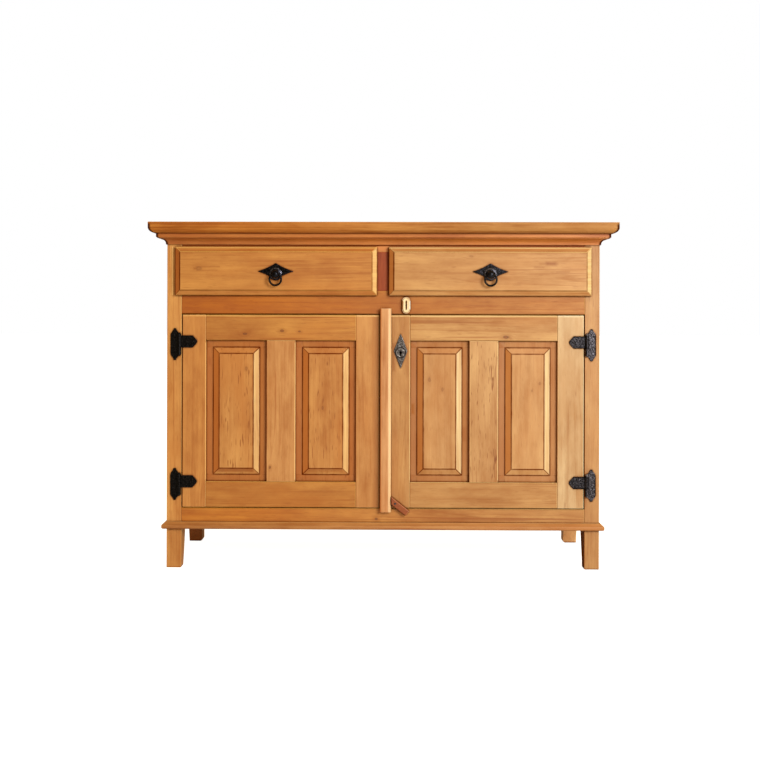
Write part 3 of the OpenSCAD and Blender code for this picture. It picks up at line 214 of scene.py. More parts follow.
class Board:
    """A pine piece's node tree, and what its marks share: the place on it, the patterns of its grain,
    where its front ends, its tone, and the dark marks, painted shade and dark waxing among them, that don't
    shine."""

    def __init__(self, name, tone, grain, thick, pith, flat, pitch, marks_until, seed):
        self.look, self.tree, self.out = new_material(name)
        self.tone = linear(tone)
        self.dulled = []
        tree = self.tree
        self.xyz = add(tree, "ShaderNodeSeparateXYZ", {
            0: add(tree, "ShaderNodeTexCoord").outputs["Object"]}).outputs
        wide = [axis for axis in AXES if axis not in (grain, thick)][0]
        place = add(tree, "ShaderNodeCombineXYZ", {
            i: self.xyz[AXES.index(axis)] for i, axis in enumerate((wide, thick, grain))}).outputs[0]
        if flat != 1.0:
            place = add(tree, "ShaderNodeMapping", {
                0: place, "Location": (0.0, pith[1] * (1 - flat), 0.0),
                "Scale": (1.0, flat, 1.0)}).outputs[0]
        self.spot = place
        self.own_tree = None
        if pitch:
            # Boards side by side, or a second piece beside the first: each has its own tree
            turn = add(tree, "ShaderNodeMath", {0: self.xyz[AXES.index(wide)], 1: pitch},
                       operation="DIVIDE")
            which = add(tree, "ShaderNodeMath", {0: turn.outputs[0]}, operation="FLOOR")
            chance = add(tree, "ShaderNodeTexWhiteNoise", {"W": which.outputs[0]}, noise_dimensions="1D")
            self.own_tree = chance.outputs["Value"]
            jump = add(tree, "ShaderNodeVectorMath", {0: chance.outputs["Color"], 1: (0.10, 0.02, 2.0)},
                       operation="MULTIPLY")
            place = add(tree, "ShaderNodeVectorMath", {0: place, 1: jump.outputs[0]},
                        operation="ADD").outputs[0]
        self.place = place
        self.shifted = add(tree, "ShaderNodeVectorMath", {
            0: place, 1: (seed * 0.37, 0.0, seed * 1.31)}, operation="ADD").outputs[0]
        self.noises = {}
        for pattern, (per_metre, detail, roughness, distortion) in GRAIN.items():
            cells = add(tree, "ShaderNodeMapping", {0: self.shifted, "Scale": per_metre})
            self.noises[pattern] = add(tree, "ShaderNodeTexNoise", {
                "Vector": cells.outputs[0], "Scale": 1.0, "Detail": detail, "Roughness": roughness,
                "Distortion": distortion}).outputs
        self.front = 1.0
        if marks_until is not None:
            self.front = add(tree, "ShaderNodeMath", {0: self.xyz[1], 1: marks_until},
                             operation="LESS_THAN").outputs[0]


def log_distance(board, pith, lean, along):
    """How far a point lies from its log's middle, in metres. The log wanders by about 8 mm over a
    quarter of a metre."""
    tree = board.tree
    wander = add(tree, "ShaderNodeMapping", {0: board.shifted, "Scale": LOG_WANDER})
    wander = add(tree, "ShaderNodeTexNoise", {
        "Vector": wander.outputs[0], "Scale": 1.0, "Detail": 2.0, "Roughness": 0.45}).outputs["Color"]
    wander = add(tree, "ShaderNodeVectorMath", {0: wander, 1: (0.5, 0.5, 0.5)}, operation="SUBTRACT")
    wander = add(tree, "ShaderNodeVectorMath", {0: wander.outputs[0], 1: LOG_SWAY}, operation="MULTIPLY")
    log = add(tree, "ShaderNodeMapping", {
        0: board.place, "Location": (pith[0], pith[1], along),
        "Rotation": (math.radians(lean[0]), math.radians(lean[1]), 0.0)}, vector_type="TEXTURE")
    log = add(tree, "ShaderNodeVectorMath", {0: log.outputs[0], 1: wander.outputs[0]}, operation="ADD")
    log = add(tree, "ShaderNodeVectorMath", {0: log.outputs[0], 1: (1.0, 1.0, 0.0)},
              operation="MULTIPLY")
    return add(tree, "ShaderNodeVectorMath", {0: log.outputs[0]}, operation="LENGTH").outputs["Value"]


def nearest_knot(board, knots):
    """How many of its own radii away the nearest knot is, with a ragged rim. None without knots."""
    if not knots:
        return None
    tree, near = board.tree, None
    oval = add(tree, "ShaderNodeVectorMath", {0: board.spot, 1: (1.0, 0.0, KNOT_SQUASH)},
               operation="MULTIPLY")
    for across, along, radius in knots:
        gap = add(tree, "ShaderNodeVectorMath", {
            0: oval.outputs[0], 1: (across, 0.0, along * KNOT_SQUASH)}, operation="DISTANCE")
        radii = add(tree, "ShaderNodeMath", {0: gap.outputs["Value"], 1: 1 / (radius * MM)},
                    operation="MULTIPLY")
        near = radii.outputs[0] if near is None else add(
            tree, "ShaderNodeMath", {0: near, 1: radii.outputs[0]}, operation="MINIMUM").outputs[0]
    ragged = add(tree, "ShaderNodeTexNoise", {"Vector": board.spot, "Scale": 160.0, "Detail": 1.0})
    return add(tree, "ShaderNodeMath", {0: ragged.outputs["Fac"], 1: 0.9, 2: near},
               operation="MULTIPLY_ADD").outputs[0]


def ring_lines(board, distance, near):
    """The dark late wood of each year's ring, from 0 to 1. Knots push the rings aside, runs of good and
    poor years, 18 mm of wood long, make wide and narrow ones, and some years hardly show."""
    tree = board.tree
    if near is not None:
        push = add(tree, "ShaderNodeMapRange", {0: near, 1: 0.5, 2: 5.0, 3: 1.0, 4: 0.0},
                   interpolation_type="SMOOTHERSTEP")
        distance = add(tree, "ShaderNodeMath", {0: push.outputs[0], 1: 12 * MM, 2: distance},
                       operation="MULTIPLY_ADD").outputs[0]
    years = add(tree, "ShaderNodeMath", {0: distance, 1: 55.0}, operation="MULTIPLY")
    years = add(tree, "ShaderNodeTexNoise", {"W": years.outputs[0], "Scale": 1.0, "Detail": 2.0},
                noise_dimensions="1D").outputs["Fac"]
    distance = add(tree, "ShaderNodeMath", {0: years, 1: 22 * MM, 2: distance},
                   operation="MULTIPLY_ADD").outputs[0]
    turns = add(tree, "ShaderNodeMath", {0: distance, 1: 1 / (RING_WIDTH * MM)},
                operation="MULTIPLY").outputs[0]
    year = add(tree, "ShaderNodeMath", {0: turns}, operation="FLOOR").outputs[0]
    year = add(tree, "ShaderNodeTexWhiteNoise", {"W": year}, noise_dimensions="1D").outputs["Value"]
    turns = add(tree, "ShaderNodeMath", {0: turns}, operation="FRACT")
    line = add(tree, "ShaderNodeValToRGB", {0: turns.outputs[0]}, stops=[
        (0.0, 0.0), (0.42, 0.04), (0.80, 0.70), (0.90, 1.0), (0.97, 0.30), (1.0, 0.0)]).outputs[0]
    return add(tree, "ShaderNodeMath", {0: line, 1: year}, operation="MULTIPLY").outputs[0]


def grain_darkness(board, rings, figure, streaky):
    """How dark the grain is, from 0 to 1. Rings and streaks come up in some places and drown in
    others."""
    tree, noises = board.tree, board.noises
    shown = add(tree, "ShaderNodeSeparateColor", {0: noises["cloud"]["Color"]}).outputs[2]
    shown = add(tree, "ShaderNodeMapRange", {0: shown, 1: 0.40, 2: 0.62, 3: 0.15, 4: 1.0}).outputs[0]
    grown = add(tree, "ShaderNodeMath", {0: rings, 1: 0.42 * figure}, operation="MULTIPLY").outputs[0]
    run = add(tree, "ShaderNodeMath", {0: noises["streak"]["Fac"], 1: 0.5}, operation="SUBTRACT")
    grown = add(tree, "ShaderNodeMath", {0: run.outputs[0], 1: 0.9 * streaky, 2: grown},
                operation="MULTIPLY_ADD").outputs[0]
    dark = add(tree, "ShaderNodeMath", {0: grown, 1: shown, 2: -1.45},
               operation="MULTIPLY_ADD").outputs[0]
    for pattern, share in (("band", 0.9), ("fibre", 0.25), ("cloud", 1.6), ("mottle", 1.0)):
        dark = add(tree, "ShaderNodeMath", {0: noises[pattern]["Fac"], 1: share, 2: dark},
                   operation="MULTIPLY_ADD").outputs[0]
    if board.own_tree is not None:
        dark = add(tree, "ShaderNodeMath", {0: board.own_tree, 1: 0.22, 2: dark},
                   operation="MULTIPLY_ADD").outputs[0]
    return add(tree, "ShaderNodeClamp", {0: dark}).outputs[0]


def grain_marks(board, veins):
    """Patches where the stain went in redder, and thin dark veins where it found open grain."""
    tree, noises = board.tree, board.noises
    red = add(tree, "ShaderNodeSeparateColor", {0: noises["cloud"]["Color"]}).outputs[1]
    red = add(tree, "ShaderNodeMapRange", {0: red, 1: 0.46, 2: 0.72, 3: 0.0, 4: 0.55})
    vein = add(tree, "ShaderNodeMapRange", {
        0: noises["vein"]["Fac"], 1: 0.64, 2: 0.76, 3: 0.0, 4: 0.75 * veins})
    return [(red.outputs[0], tinted(board.tone, RED_STAIN)),
            (vein.outputs[0], tinted(board.tone, DARK_VEIN))]


def stain_and_shade_marks(board, stains_and_shade):
    """Soft dark places: real dark stain, and painted shade in the door gaps, under the top board and the
    crown and down the top board's left end, painted shadows beside the meeting strip and the escutcheon,
    and painted shade on the rear leg's front. Those stronger than 1 are gaps and joints painted black and
    dull.
    """
    tree, marks = board.tree, []
    for middle, level, half_w, half_h, soft, strength in stains_and_shade:
        gap = edge_gaps(tree, board.xyz, middle, level, half_w, half_h)[2]
        gap = add(tree, "ShaderNodeMath", {0: board.noises["mottle"]["Fac"], 1: soft, 2: gap},
                  operation="MULTIPLY_ADD")
        gap = add(tree, "ShaderNodeMapRange", {
            0: gap.outputs[0], 1: -0.5 * soft, 2: 1.5 * soft, 3: min(1.0, strength), 4: 0.0},
            interpolation_type="SMOOTHSTEP")
        gap = add(tree, "ShaderNodeMath", {0: gap.outputs[0], 1: board.front}, operation="MULTIPLY")
        if strength > 1:
            board.dulled.append(gap.outputs[0])
        shares = [share / max(1.0, strength) for share in SOFT_STAIN_AND_SHADE]
        marks.append((gap.outputs[0], tinted(board.tone, shares)))
    return marks


def pore_marks(board, rough, flecks):
    """Short dark dashes, thick where the face is torn."""
    tree, dash = board.tree, board.noises["dash"]["Fac"]
    for middle, level, half_w, half_h in rough:
        gap = edge_gaps(tree, board.xyz, middle, level, half_w, half_h)[2]
        gap = add(tree, "ShaderNodeMapRange", {0: gap, 1: -12 * MM, 2: 0.0, 3: 0.16, 4: 0.0})
        dash = add(tree, "ShaderNodeMath", {0: gap.outputs[0], 1: board.front, 2: dash},
                   operation="MULTIPLY_ADD").outputs[0]
    dash = add(tree, "ShaderNodeMapRange", {0: dash, 1: 0.70, 2: 0.80, 3: 0.0, 4: 0.55 * flecks})
    return [(dash.outputs[0], tinted(board.tone, PRESSED_PORE))]


def knot_marks(board, near, knot_depth):
    """A soft halo round each knot, and the knot's own brown rings in a black rim."""
    if near is None:
        return []
    tree = board.tree
    halo = add(tree, "ShaderNodeMapRange", {0: near, 1: 1.1, 2: 4.0, 3: 0.55 * knot_depth, 4: 0.0},
               interpolation_type="SMOOTHSTEP")
    heart = add(tree, "ShaderNodeValToRGB", {0: near}, stops=[
        (0.0, linear("#3b1c0c")), (0.45, linear("#6f3a17")), (0.8, linear("#8a4b20")),
        (1.0, linear("#43200d"))])
    core = add(tree, "ShaderNodeMapRange", {0: near, 1: 0.95, 2: 1.6, 3: knot_depth, 4: 0.0})
    return [(halo.outputs[0], tinted(board.tone, KNOT_HALO)), (core.outputs[0], heart.outputs[0])]


def side_light_marks(board, bleach):
    """Painted light by how a slope faces: slopes that face the light get a pale painted highlight, and those
    that face away painted shade in the stain's deep red.
    """
    tree = board.tree
    sun = add(tree, "ShaderNodeAttribute", attribute_name="sun").outputs["Fac"]
    pale = add(tree, "ShaderNodeMath", {
        0: board.noises["streak"]["Fac"], 1: bleach[0], 2: bleach[1]}, operation="MULTIPLY_ADD")
    pale = add(tree, "ShaderNodeMath", {0: pale.outputs[0], 1: sun}, operation="MULTIPLY", use_clamp=True)
    shady = add(tree, "ShaderNodeMath", {0: sun, 1: -0.85}, operation="MULTIPLY", use_clamp=True)
    return [(pale.outputs[0], tinted(board.tone, LIT_SLOPE_HIGHLIGHT)),
            (shady.outputs[0], tinted(board.tone, IN_SHADE))]


def pool_and_shade_marks(board, pool_and_shade):
    """Darker the deeper a face lies: stain that has gathered there, and painted shade of the recess."""
    if not pool_and_shade:
        return []
    tree, (start, full, amount) = board.tree, pool_and_shade
    deep = add(tree, "ShaderNodeMapRange", {0: board.xyz[1], 1: start, 2: full, 3: 0.0, 4: amount})
    deep = add(tree, "ShaderNodeMath", {0: deep.outputs[0], 1: board.front}, operation="MULTIPLY")
    return [(deep.outputs[0], tinted(board.tone, POOLED_STAIN_AND_SHADE))]


def wax_and_shade_marks(board, fields):
    """Dark lines along both edges of each field's bevel and down its mitres, uneven as a hand leaves them:
    dark waxing, and painted shade in the creases.
    """
    if not fields:
        return []
    tree, marks = board.tree, []
    held = add(tree, "ShaderNodeMapRange", {
        0: board.noises["mottle"]["Fac"], 1: 0.30, 2: 0.62, 3: 0.55, 4: 1.0})
    for middle, level, half_w, half_h, bevel in fields:
        side, top, gap = edge_gaps(tree, board.xyz, middle, level, half_w, half_h)
        gap = add(tree, "ShaderNodeMath", {0: gap, 1: bevel / 2}, operation="ADD")
        gap = add(tree, "ShaderNodeMath", {0: gap.outputs[0]}, operation="ABSOLUTE")
        gap = add(tree, "ShaderNodeMath", {0: gap.outputs[0], 1: bevel / 2}, operation="SUBTRACT").outputs[0]
        mitre = add(tree, "ShaderNodeMath", {0: side, 1: top}, operation="SUBTRACT")
        mitre = add(tree, "ShaderNodeMath", {0: mitre.outputs[0]}, operation="ABSOLUTE")
        mitre = add(tree, "ShaderNodeMath", {0: mitre.outputs[0], 1: gap}, operation="MAXIMUM")
        gap = add(tree, "ShaderNodeMath", {0: gap}, operation="ABSOLUTE")
        gap = add(tree, "ShaderNodeMath", {0: gap.outputs[0], 1: mitre.outputs[0]}, operation="MINIMUM")
        wax_and_shade = add(tree, "ShaderNodeMapRange", {0: gap.outputs[0], 1: 0.9 * MM, 2: 2.2 * MM, 3: 1.0, 4: 0.0})
        wax_and_shade = add(tree, "ShaderNodeMath", {0: wax_and_shade.outputs[0], 1: held.outputs[0]}, operation="MULTIPLY")
        wax_and_shade = add(tree, "ShaderNodeMath", {0: wax_and_shade.outputs[0], 1: board.front}, operation="MULTIPLY")
        board.dulled.append(wax_and_shade.outputs[0])
        marks.append((wax_and_shade.outputs[0], tinted(board.tone, WAX_AND_SHADE_LINE)))
    return marks


def shade_and_arris_marks(board, corner_shade):
    """Painted shade in the corners and gaps, found by ambient occlusion, with old dirt, and arrises
    lightened outside it: wear, with painted highlight where they face the light or up.
    """
    tree = board.tree
    inside = add(tree, "ShaderNodeAmbientOcclusion", {"Distance": 5 * MM}, samples=8)
    inside = add(tree, "ShaderNodeMapRange", {0: inside.outputs["AO"], 1: 0.50, 2: 0.97, 3: corner_shade, 4: 0.0})
    board.dulled.append(inside.outputs[0])
    rubbed_and_lit = add(tree, "ShaderNodeAttribute", attribute_name="worn").outputs["Fac"]
    out_of_shade = add(tree, "ShaderNodeMath", {0: 1.0, 1: inside.outputs[0]}, operation="SUBTRACT")
    rubbed_and_lit = add(tree, "ShaderNodeMath", {0: rubbed_and_lit, 1: out_of_shade.outputs[0]}, operation="MULTIPLY")
    rubbed_and_lit = add(tree, "ShaderNodeMath", {0: rubbed_and_lit.outputs[0], 1: board.noises["streak"]["Fac"]},
                 operation="MULTIPLY", use_clamp=True)
    return [(inside.outputs[0], tinted(board.tone, CORNER_SHADE_AND_DIRT)),
            (rubbed_and_lit.outputs[0], tinted(board.tone, RUBBED_AND_LIT_ARRIS))]


def arris_highlight_marks(board, bright):
    """Thin painted highlights along arrises that catch the light."""
    tree, marks = board.tree, []
    for middle, level, half_w, half_h in bright:
        gap = edge_gaps(tree, board.xyz, middle, level, half_w, half_h)[2]
        gap = add(tree, "ShaderNodeMapRange", {0: gap, 1: 0.0, 2: 1.0 * MM, 3: 1.6, 4: 0.0})
        gap = add(tree, "ShaderNodeMath", {0: gap.outputs[0], 1: board.noises["streak"]["Fac"]},
                  operation="MULTIPLY", use_clamp=True)
        marks.append((gap.outputs[0], tinted(board.tone, PAINTED_ARRIS_HIGHLIGHT)))
    return marks


def mitre_shade_marks(board, corner):
    """Painted shade along the outer edge of the crown's mitre, where the front turns to the side. It ends
    at the mitre, below the top's arris and well before the crown's side has gone far back."""
    if corner is None:
        return []
    tree, xyz, top = board.tree, board.xyz, CAD_BOX[1].z
    across = add(tree, "ShaderNodeMath", {0: xyz[0]}, operation="ABSOLUTE")
    across = add(tree, "ShaderNodeMath", {0: across.outputs[0], 1: xyz[1]}, operation="ADD").outputs[0]
    edge = add(tree, "ShaderNodeMapRange", {
        0: across, 1: corner - 7.5 * MM, 2: corner - 4.0 * MM, 3: 0.0, 4: 0.97}).outputs[0]
    below = add(tree, "ShaderNodeMapRange", {0: xyz[2], 1: top - 8 * MM, 2: top - 1 * MM, 3: 1.0, 4: 0.0})
    before = add(tree, "ShaderNodeMath", {0: across, 1: corner + 1.5 * MM}, operation="LESS_THAN")
    ahead = add(tree, "ShaderNodeMath", {0: xyz[1], 1: MITRE_ENDS_Y}, operation="LESS_THAN")
    for limit in (below, before, ahead):
        edge = add(tree, "ShaderNodeMath", {0: edge, 1: limit.outputs[0]}, operation="MULTIPLY").outputs[0]
    board.dulled.append(edge)
    return [(edge, tinted(board.tone, MITRE_EDGE_SHADE))]


def light_change_marks(board, light_change_tone):
    """Multiplies the colour so that a long piece reaches another tone at its right end: the painted change
    of light along it, from its left end to its right.
    """
    if not light_change_tone:
        return []
    turned = [there / here for here, there in zip(board.tone, linear(light_change_tone))]
    across = add(board.tree, "ShaderNodeMapRange", {0: board.xyz[0], 1: -0.35, 2: 0.35})
    return [(across.outputs[0], turned)]


def waxed_pine(name, tone, grain="z", thick="y", pith=(0.0, -0.14), lean=(0.6, 0.0), along=0.0, flat=1.0,
               pitch=0.0, figure=1.0, streaky=1.0, veins=1.0, knots=(), knot_depth=0.8, stains_and_shade=(),
               rough=(), flecks=0.5, bleach=(1.5, -0.05), pool_and_shade=None, fields=(), corner_shade=0.92, light_change_tone=None,
               bright=(), corner=None, marks_until=None, sheen=(0.28, 0.38, 0.56), seed=0.0):
    """Honey-stained, hand-waxed pine. The eye gets growth rings cut at their real angle, so faces show
    arches and edges show straight lines, with fibres, soft stain clouds, knots, and painted shade with dirt
    in the corners.
    Lengths are in metres, but a knot's radius is in mm.

    grain and thick are the axes along the grain and through the board, pith is where the log's middle
    ran, across and through, lean is how it leaned, in degrees, and along moves the figure along it.
    flat squeezes the figure through the thickness, and pitch is how far apart boards lie that come
    from trees of their own. figure, streaky and veins are how strong those show, flecks the pores.
    knots are across, along and radius. stains are soft dark places, real dark stain and painted shade,
    and rough are torn ones: middle, level, half width, half height, and for stains the softness and the
    strength. bleach is how the streaks show in the painted highlight on slopes that face the light. pool
    is the depth where stain and painted shade start to gather, the depth where they are thickest, and
    how thick they get. fields are raised fields whose steps hold dark lines of waxing and painted shade:
    middle, level, half width, half height, bevel. grime is how dark the painted shade and dirt in the
    corners are, fade the tone that a long piece reaches at its right end, painted as the light changes
    along it, and bright are thin painted highlights along arrises. corner is where a mitre lies, as
    across plus depth, whose outer edge gets painted shade. marks_until is the depth where the marks of
    the front end. sheen is how strongly the finish shines, and its roughness on pale and on dark wood.
    seed moves the piece to a tree of its own."""
    board = Board(name, tone, grain, thick, pith, flat, pitch, marks_until, seed)
    tree, noises = board.tree, board.noises
    near = nearest_knot(board, knots)
    rings = ring_lines(board, log_distance(board, pith, lean, along), near)
    dark = grain_darkness(board, rings, figure, streaky)
    colour = add(tree, "ShaderNodeMix", {
        0: dark, 6: tinted(board.tone, EARLY_WOOD), 7: tinted(board.tone, LATE_WOOD)},
        data_type="RGBA").outputs[2]
    body_marks = (grain_marks(board, veins) + stain_and_shade_marks(board, stains_and_shade)
                  + pore_marks(board, rough, flecks) + knot_marks(board, near, knot_depth)
                  + side_light_marks(board, bleach) + pool_and_shade_marks(board, pool_and_shade)
                  + wax_and_shade_marks(board, fields) + shade_and_arris_marks(board, corner_shade))
    rim_marks = arris_highlight_marks(board, bright) + mitre_shade_marks(board, corner)
    for marks, blend in ((body_marks, "MIX"), (light_change_marks(board, light_change_tone), "MULTIPLY"), (rim_marks, "MIX")):
        for amount, over in marks:
            colour = add(tree, "ShaderNodeMix", {0: amount, 6: colour, 7: over}, data_type="RGBA",
                         blend_type=blend).outputs[2]

    shine, pale_rough, dark_rough = sheen
    gloss = add(tree, "ShaderNodeMapRange", {0: dark, 1: 0.0, 2: 1.0, 3: pale_rough, 4: dark_rough})
    dulled = 0.0
    for amount in board.dulled:
        dulled = add(tree, "ShaderNodeMath", {0: amount, 1: dulled}, operation="MAXIMUM").outputs[0]
    shine = add(tree, "ShaderNodeMath", {0: dulled, 1: -shine, 2: shine}, operation="MULTIPLY_ADD")
    relief = add(tree, "ShaderNodeMath", {0: noises["fibre"]["Fac"], 1: 0.5, 2: noises["streak"]["Fac"]},
                 operation="MULTIPLY_ADD")
    relief = add(tree, "ShaderNodeMath", {0: rings, 1: 0.6, 2: relief.outputs[0]},
                 operation="MULTIPLY_ADD")
    bump = add(tree, "ShaderNodeBump", {
        "Strength": 0.35, "Distance": 0.5 * MM, "Height": relief.outputs[0]})
    skin = add(tree, "ShaderNodeBsdfPrincipled", {
        "Base Color": colour, "Roughness": gloss.outputs[0], "IOR": 1.5,
        "Specular IOR Level": shine.outputs[0], "Normal": bump.outputs[0]})
    tree.links.new(skin.outputs[0], board.out.inputs[0])
    return board.look


def forged_iron(name, tone, patch_and_arris_tone, dimple=6.0, rough=(0.26, 0.50), collar=None,
                patchy=(0.42, 0.70), outline=()):
    """Forged iron, oiled black. Hammer dimples catch small lights, and the arrises that don't face away
    from the light are greyer, with wear and painted highlight. dimple is a blow's width, in mm, and rough
    the roughness of the smooth and of the scaly patches. collar is a boss's place and its rings of
    painted highlight and shade, each with its distance from the middle, in mm. patchy is the range over
    which the scale has gone, and outline lists plates whose rims get painted shade."""
    look, tree, out = new_material(name)
    place = add(tree, "ShaderNodeTexCoord").outputs["Object"]
    # Scale in flakes of about 4 mm
    scale = add(tree, "ShaderNodeTexNoise", {
        "Vector": place, "Scale": 260.0, "Detail": 3.0, "Roughness": 0.65}).outputs["Fac"]
    blows = add(tree, "ShaderNodeTexVoronoi", {
        "Vector": place, "Scale": 1 / (dimple * MM), "Smoothness": 0.6},
        feature="SMOOTH_F1").outputs["Distance"]
    cover = add(tree, "ShaderNodeMapRange", {0: scale, 1: patchy[0], 2: patchy[1], 3: 0.0, 4: 0.7})
    colour = add(tree, "ShaderNodeMix", {0: cover.outputs[0], 6: linear(tone), 7: linear(patch_and_arris_tone)},
                 data_type="RGBA").outputs[2]
    rubbed_and_lit = add(tree, "ShaderNodeAttribute", attribute_name="worn").outputs["Fac"]
    rubbed_and_lit = add(tree, "ShaderNodeMath", {0: rubbed_and_lit, 1: 0.8}, operation="MULTIPLY")
    colour = add(tree, "ShaderNodeMix", {0: rubbed_and_lit.outputs[0], 6: colour, 7: linear(patch_and_arris_tone)},
                 data_type="RGBA").outputs[2]
    if collar:
        middle, shades = collar
        away = add(tree, "ShaderNodeVectorMath", {0: place, 1: (1.0, 0.0, 1.0)}, operation="MULTIPLY")
        away = add(tree, "ShaderNodeVectorMath", {0: away.outputs[0], 1: middle}, operation="DISTANCE")
        away = add(tree, "ShaderNodeMath", {0: away.outputs["Value"], 1: 1 / (COLLAR_REACH * MM)},
                   operation="MULTIPLY")
        shade = add(tree, "ShaderNodeValToRGB", {0: away.outputs[0]}, stops=[
            (at / COLLAR_REACH, value) for at, value in shades])
        colour = add(tree, "ShaderNodeMix", {0: 1.0, 6: colour, 7: shade.outputs[0]}, data_type="RGBA",
                     blend_type="MULTIPLY").outputs[2]
    xyz = add(tree, "ShaderNodeSeparateXYZ", {0: place}).outputs
    for low, high in outline:
        rim = edge_gaps(tree, xyz, (low[0] + high[0]) / 2, (low[2] + high[2]) / 2,
                        (high[0] - low[0]) / 2, (high[2] - low[2]) / 2)[2]
        rim = add(tree, "ShaderNodeMath", {0: rim}, operation="ABSOLUTE")
        rim = add(tree, "ShaderNodeMapRange", {
            0: rim.outputs[0], 1: 1.4 * MM, 2: 3.0 * MM, 3: 0.97, 4: 0.0})
        colour = add(tree, "ShaderNodeMix", {0: rim.outputs[0], 6: colour, 7: linear("#060505")},
                     data_type="RGBA").outputs[2]
    gloss = add(tree, "ShaderNodeMapRange", {0: scale, 1: 0.3, 2: 0.7, 3: rough[0], 4: rough[1]})
    relief = add(tree, "ShaderNodeMath", {0: blows, 1: 1.6, 2: scale}, operation="MULTIPLY_ADD")
    bump = add(tree, "ShaderNodeBump", {
        "Strength": 0.55, "Distance": 0.8 * MM, "Height": relief.outputs[0]})
    skin = add(tree, "ShaderNodeBsdfPrincipled", {
        "Base Color": colour, "Metallic": 0.9, "Roughness": gloss.outputs[0],
        "Specular IOR Level": 0.2, "Normal": bump.outputs[0]})
    tree.links.new(skin.outputs[0], out.inputs[0])
    return look


def put(name, bm, node, look, sharp):
    """Makes a piece of the mesh, with flat faces and smooth arrises, on the body that holds a node.
    Edges that turn further than sharp, in degrees, stay crisp."""
    mesh = bpy.data.meshes.new(name)
    bm.to_mesh(mesh)
    bm.free()
    for face in mesh.polygons:
        face.use_smooth = True
    mesh.set_sharp_from_angle(angle=math.radians(sharp))
    mesh.materials.append(look)
    thing = bpy.data.objects.new(name, mesh)
    bpy.context.scene.collection.objects.link(thing)
    flat = thing.modifiers.new("flat faces stay flat", "WEIGHTED_NORMAL")
    flat.keep_sharp = True
    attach(thing, BODY_OF[node])
    return thing


def merged_copy(node):
    """A CAD node's mesh as a bmesh, with its loose triangles joined."""
    bm = bmesh.new()
    bm.from_mesh(frame["nodes"][node].data)
    bmesh.ops.remove_doubles(bm, verts=bm.verts, dist=0.005 * MM)
    return bm


def eased(node, look, radius, shy=0.0):
    """A copy of a CAD node with its arrises rounded by a radius in mm, as plane and sandpaper leave
    them. Each face keeps how much it is lightened by wear and painted highlight, and how far it turns to
    the light (1) or away from it (-1), for its painted highlight or shade. shy is how much of that the
    slopes that face up or down lose."""
    bm = merged_copy(node)
    bmesh.ops.recalc_face_normals(bm, faces=bm.faces)
    bmesh.ops.dissolve_limit(bm, angle_limit=math.radians(0.3), verts=bm.verts, edges=bm.edges)
    worn = bm.faces.layers.float.new("worn")
    sun = bm.faces.layers.float.new("sun")
    arrises = [edge for edge in bm.edges if len(edge.link_faces) == 2
               and edge.calc_face_angle() > ARRIS_ANGLE and edge.calc_length() > SHORTEST_ARRIS]
    made = set()
    if radius:
        made = set(bmesh.ops.bevel(bm, geom=arrises, offset=radius * MM, offset_type="OFFSET",
                                   segments=2, profile=0.5, affect="EDGES", material=-1,
                                   clamp_overlap=False)["faces"])
    bm.normal_update()
    for face in bm.faces:
        right, back, up = face.normal
        # Rounded arrises that don't face away from the light get wear and a painted highlight, more where
        # they face up and forwards
        if face in made and radius < WIDE_ROUND and right > -TURNED:
            face[worn] = TOP_ARRIS_WEAR_AND_LIGHT if up > 0.25 and back < -TURNED else 1.0
        # Faces that turn to the light get a painted highlight and those that turn away painted shade
        if face in made or back < -TURNED:
            turned = right - shy * (max(0.0, up) + 0.3 * max(0.0, -up))
            face[sun] = max(-1.0, min(1.0, turned / FULL_SUN))
    thing = put(node + ".eased", bm, node, look, 40.0 if radius else 1.0)
    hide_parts(node)
    return thing


def solids_of(node):
    """The lowest and highest corners of each separate solid in a CAD node."""
    bm = merged_copy(node)
    left, found = set(bm.verts), []
    while left:
        group, edge = set(), [left.pop()]
        while edge:
            vert = edge.pop()
            group.add(vert.co.copy().freeze())
            near = {e.other_vert(vert) for e in vert.link_edges} & left
            left -= near
            edge += near
        found.append([[f(v[i] for v in group) for i in range(3)] for f in (min, max)])
    bm.free()
    return sorted(found)


def fields_of(node, inset, bevel):
    """The bevels round the raised fields of boards that face the front, from sizes in mm."""
    return tuple(((low[0] + high[0]) / 2, (low[2] + high[2]) / 2, (high[0] - low[0]) / 2 - inset * MM,
                  (high[2] - low[2]) / 2 - inset * MM, bevel * MM) for low, high in solids_of(node))


# Camera: straight on, at the height of the doors' upper rails, turned and tipped by under a degree
camera = bpy.data.cameras.new("front_camera")
camera.sensor_width = 36.0
camera.lens = 59.44
camera.shift_x = 0.0185
camera.shift_y = -0.0834
camera.dof.use_dof = False
eye = bpy.data.objects.new("front_camera", camera)
eye.location = (0.0023, -3.4221, 0.6490)
eye.rotation_euler = (math.radians(90), math.radians(-0.148), math.radians(0.813))
bpy.context.scene.collection.objects.link(eye)
bpy.context.scene.camera = eye
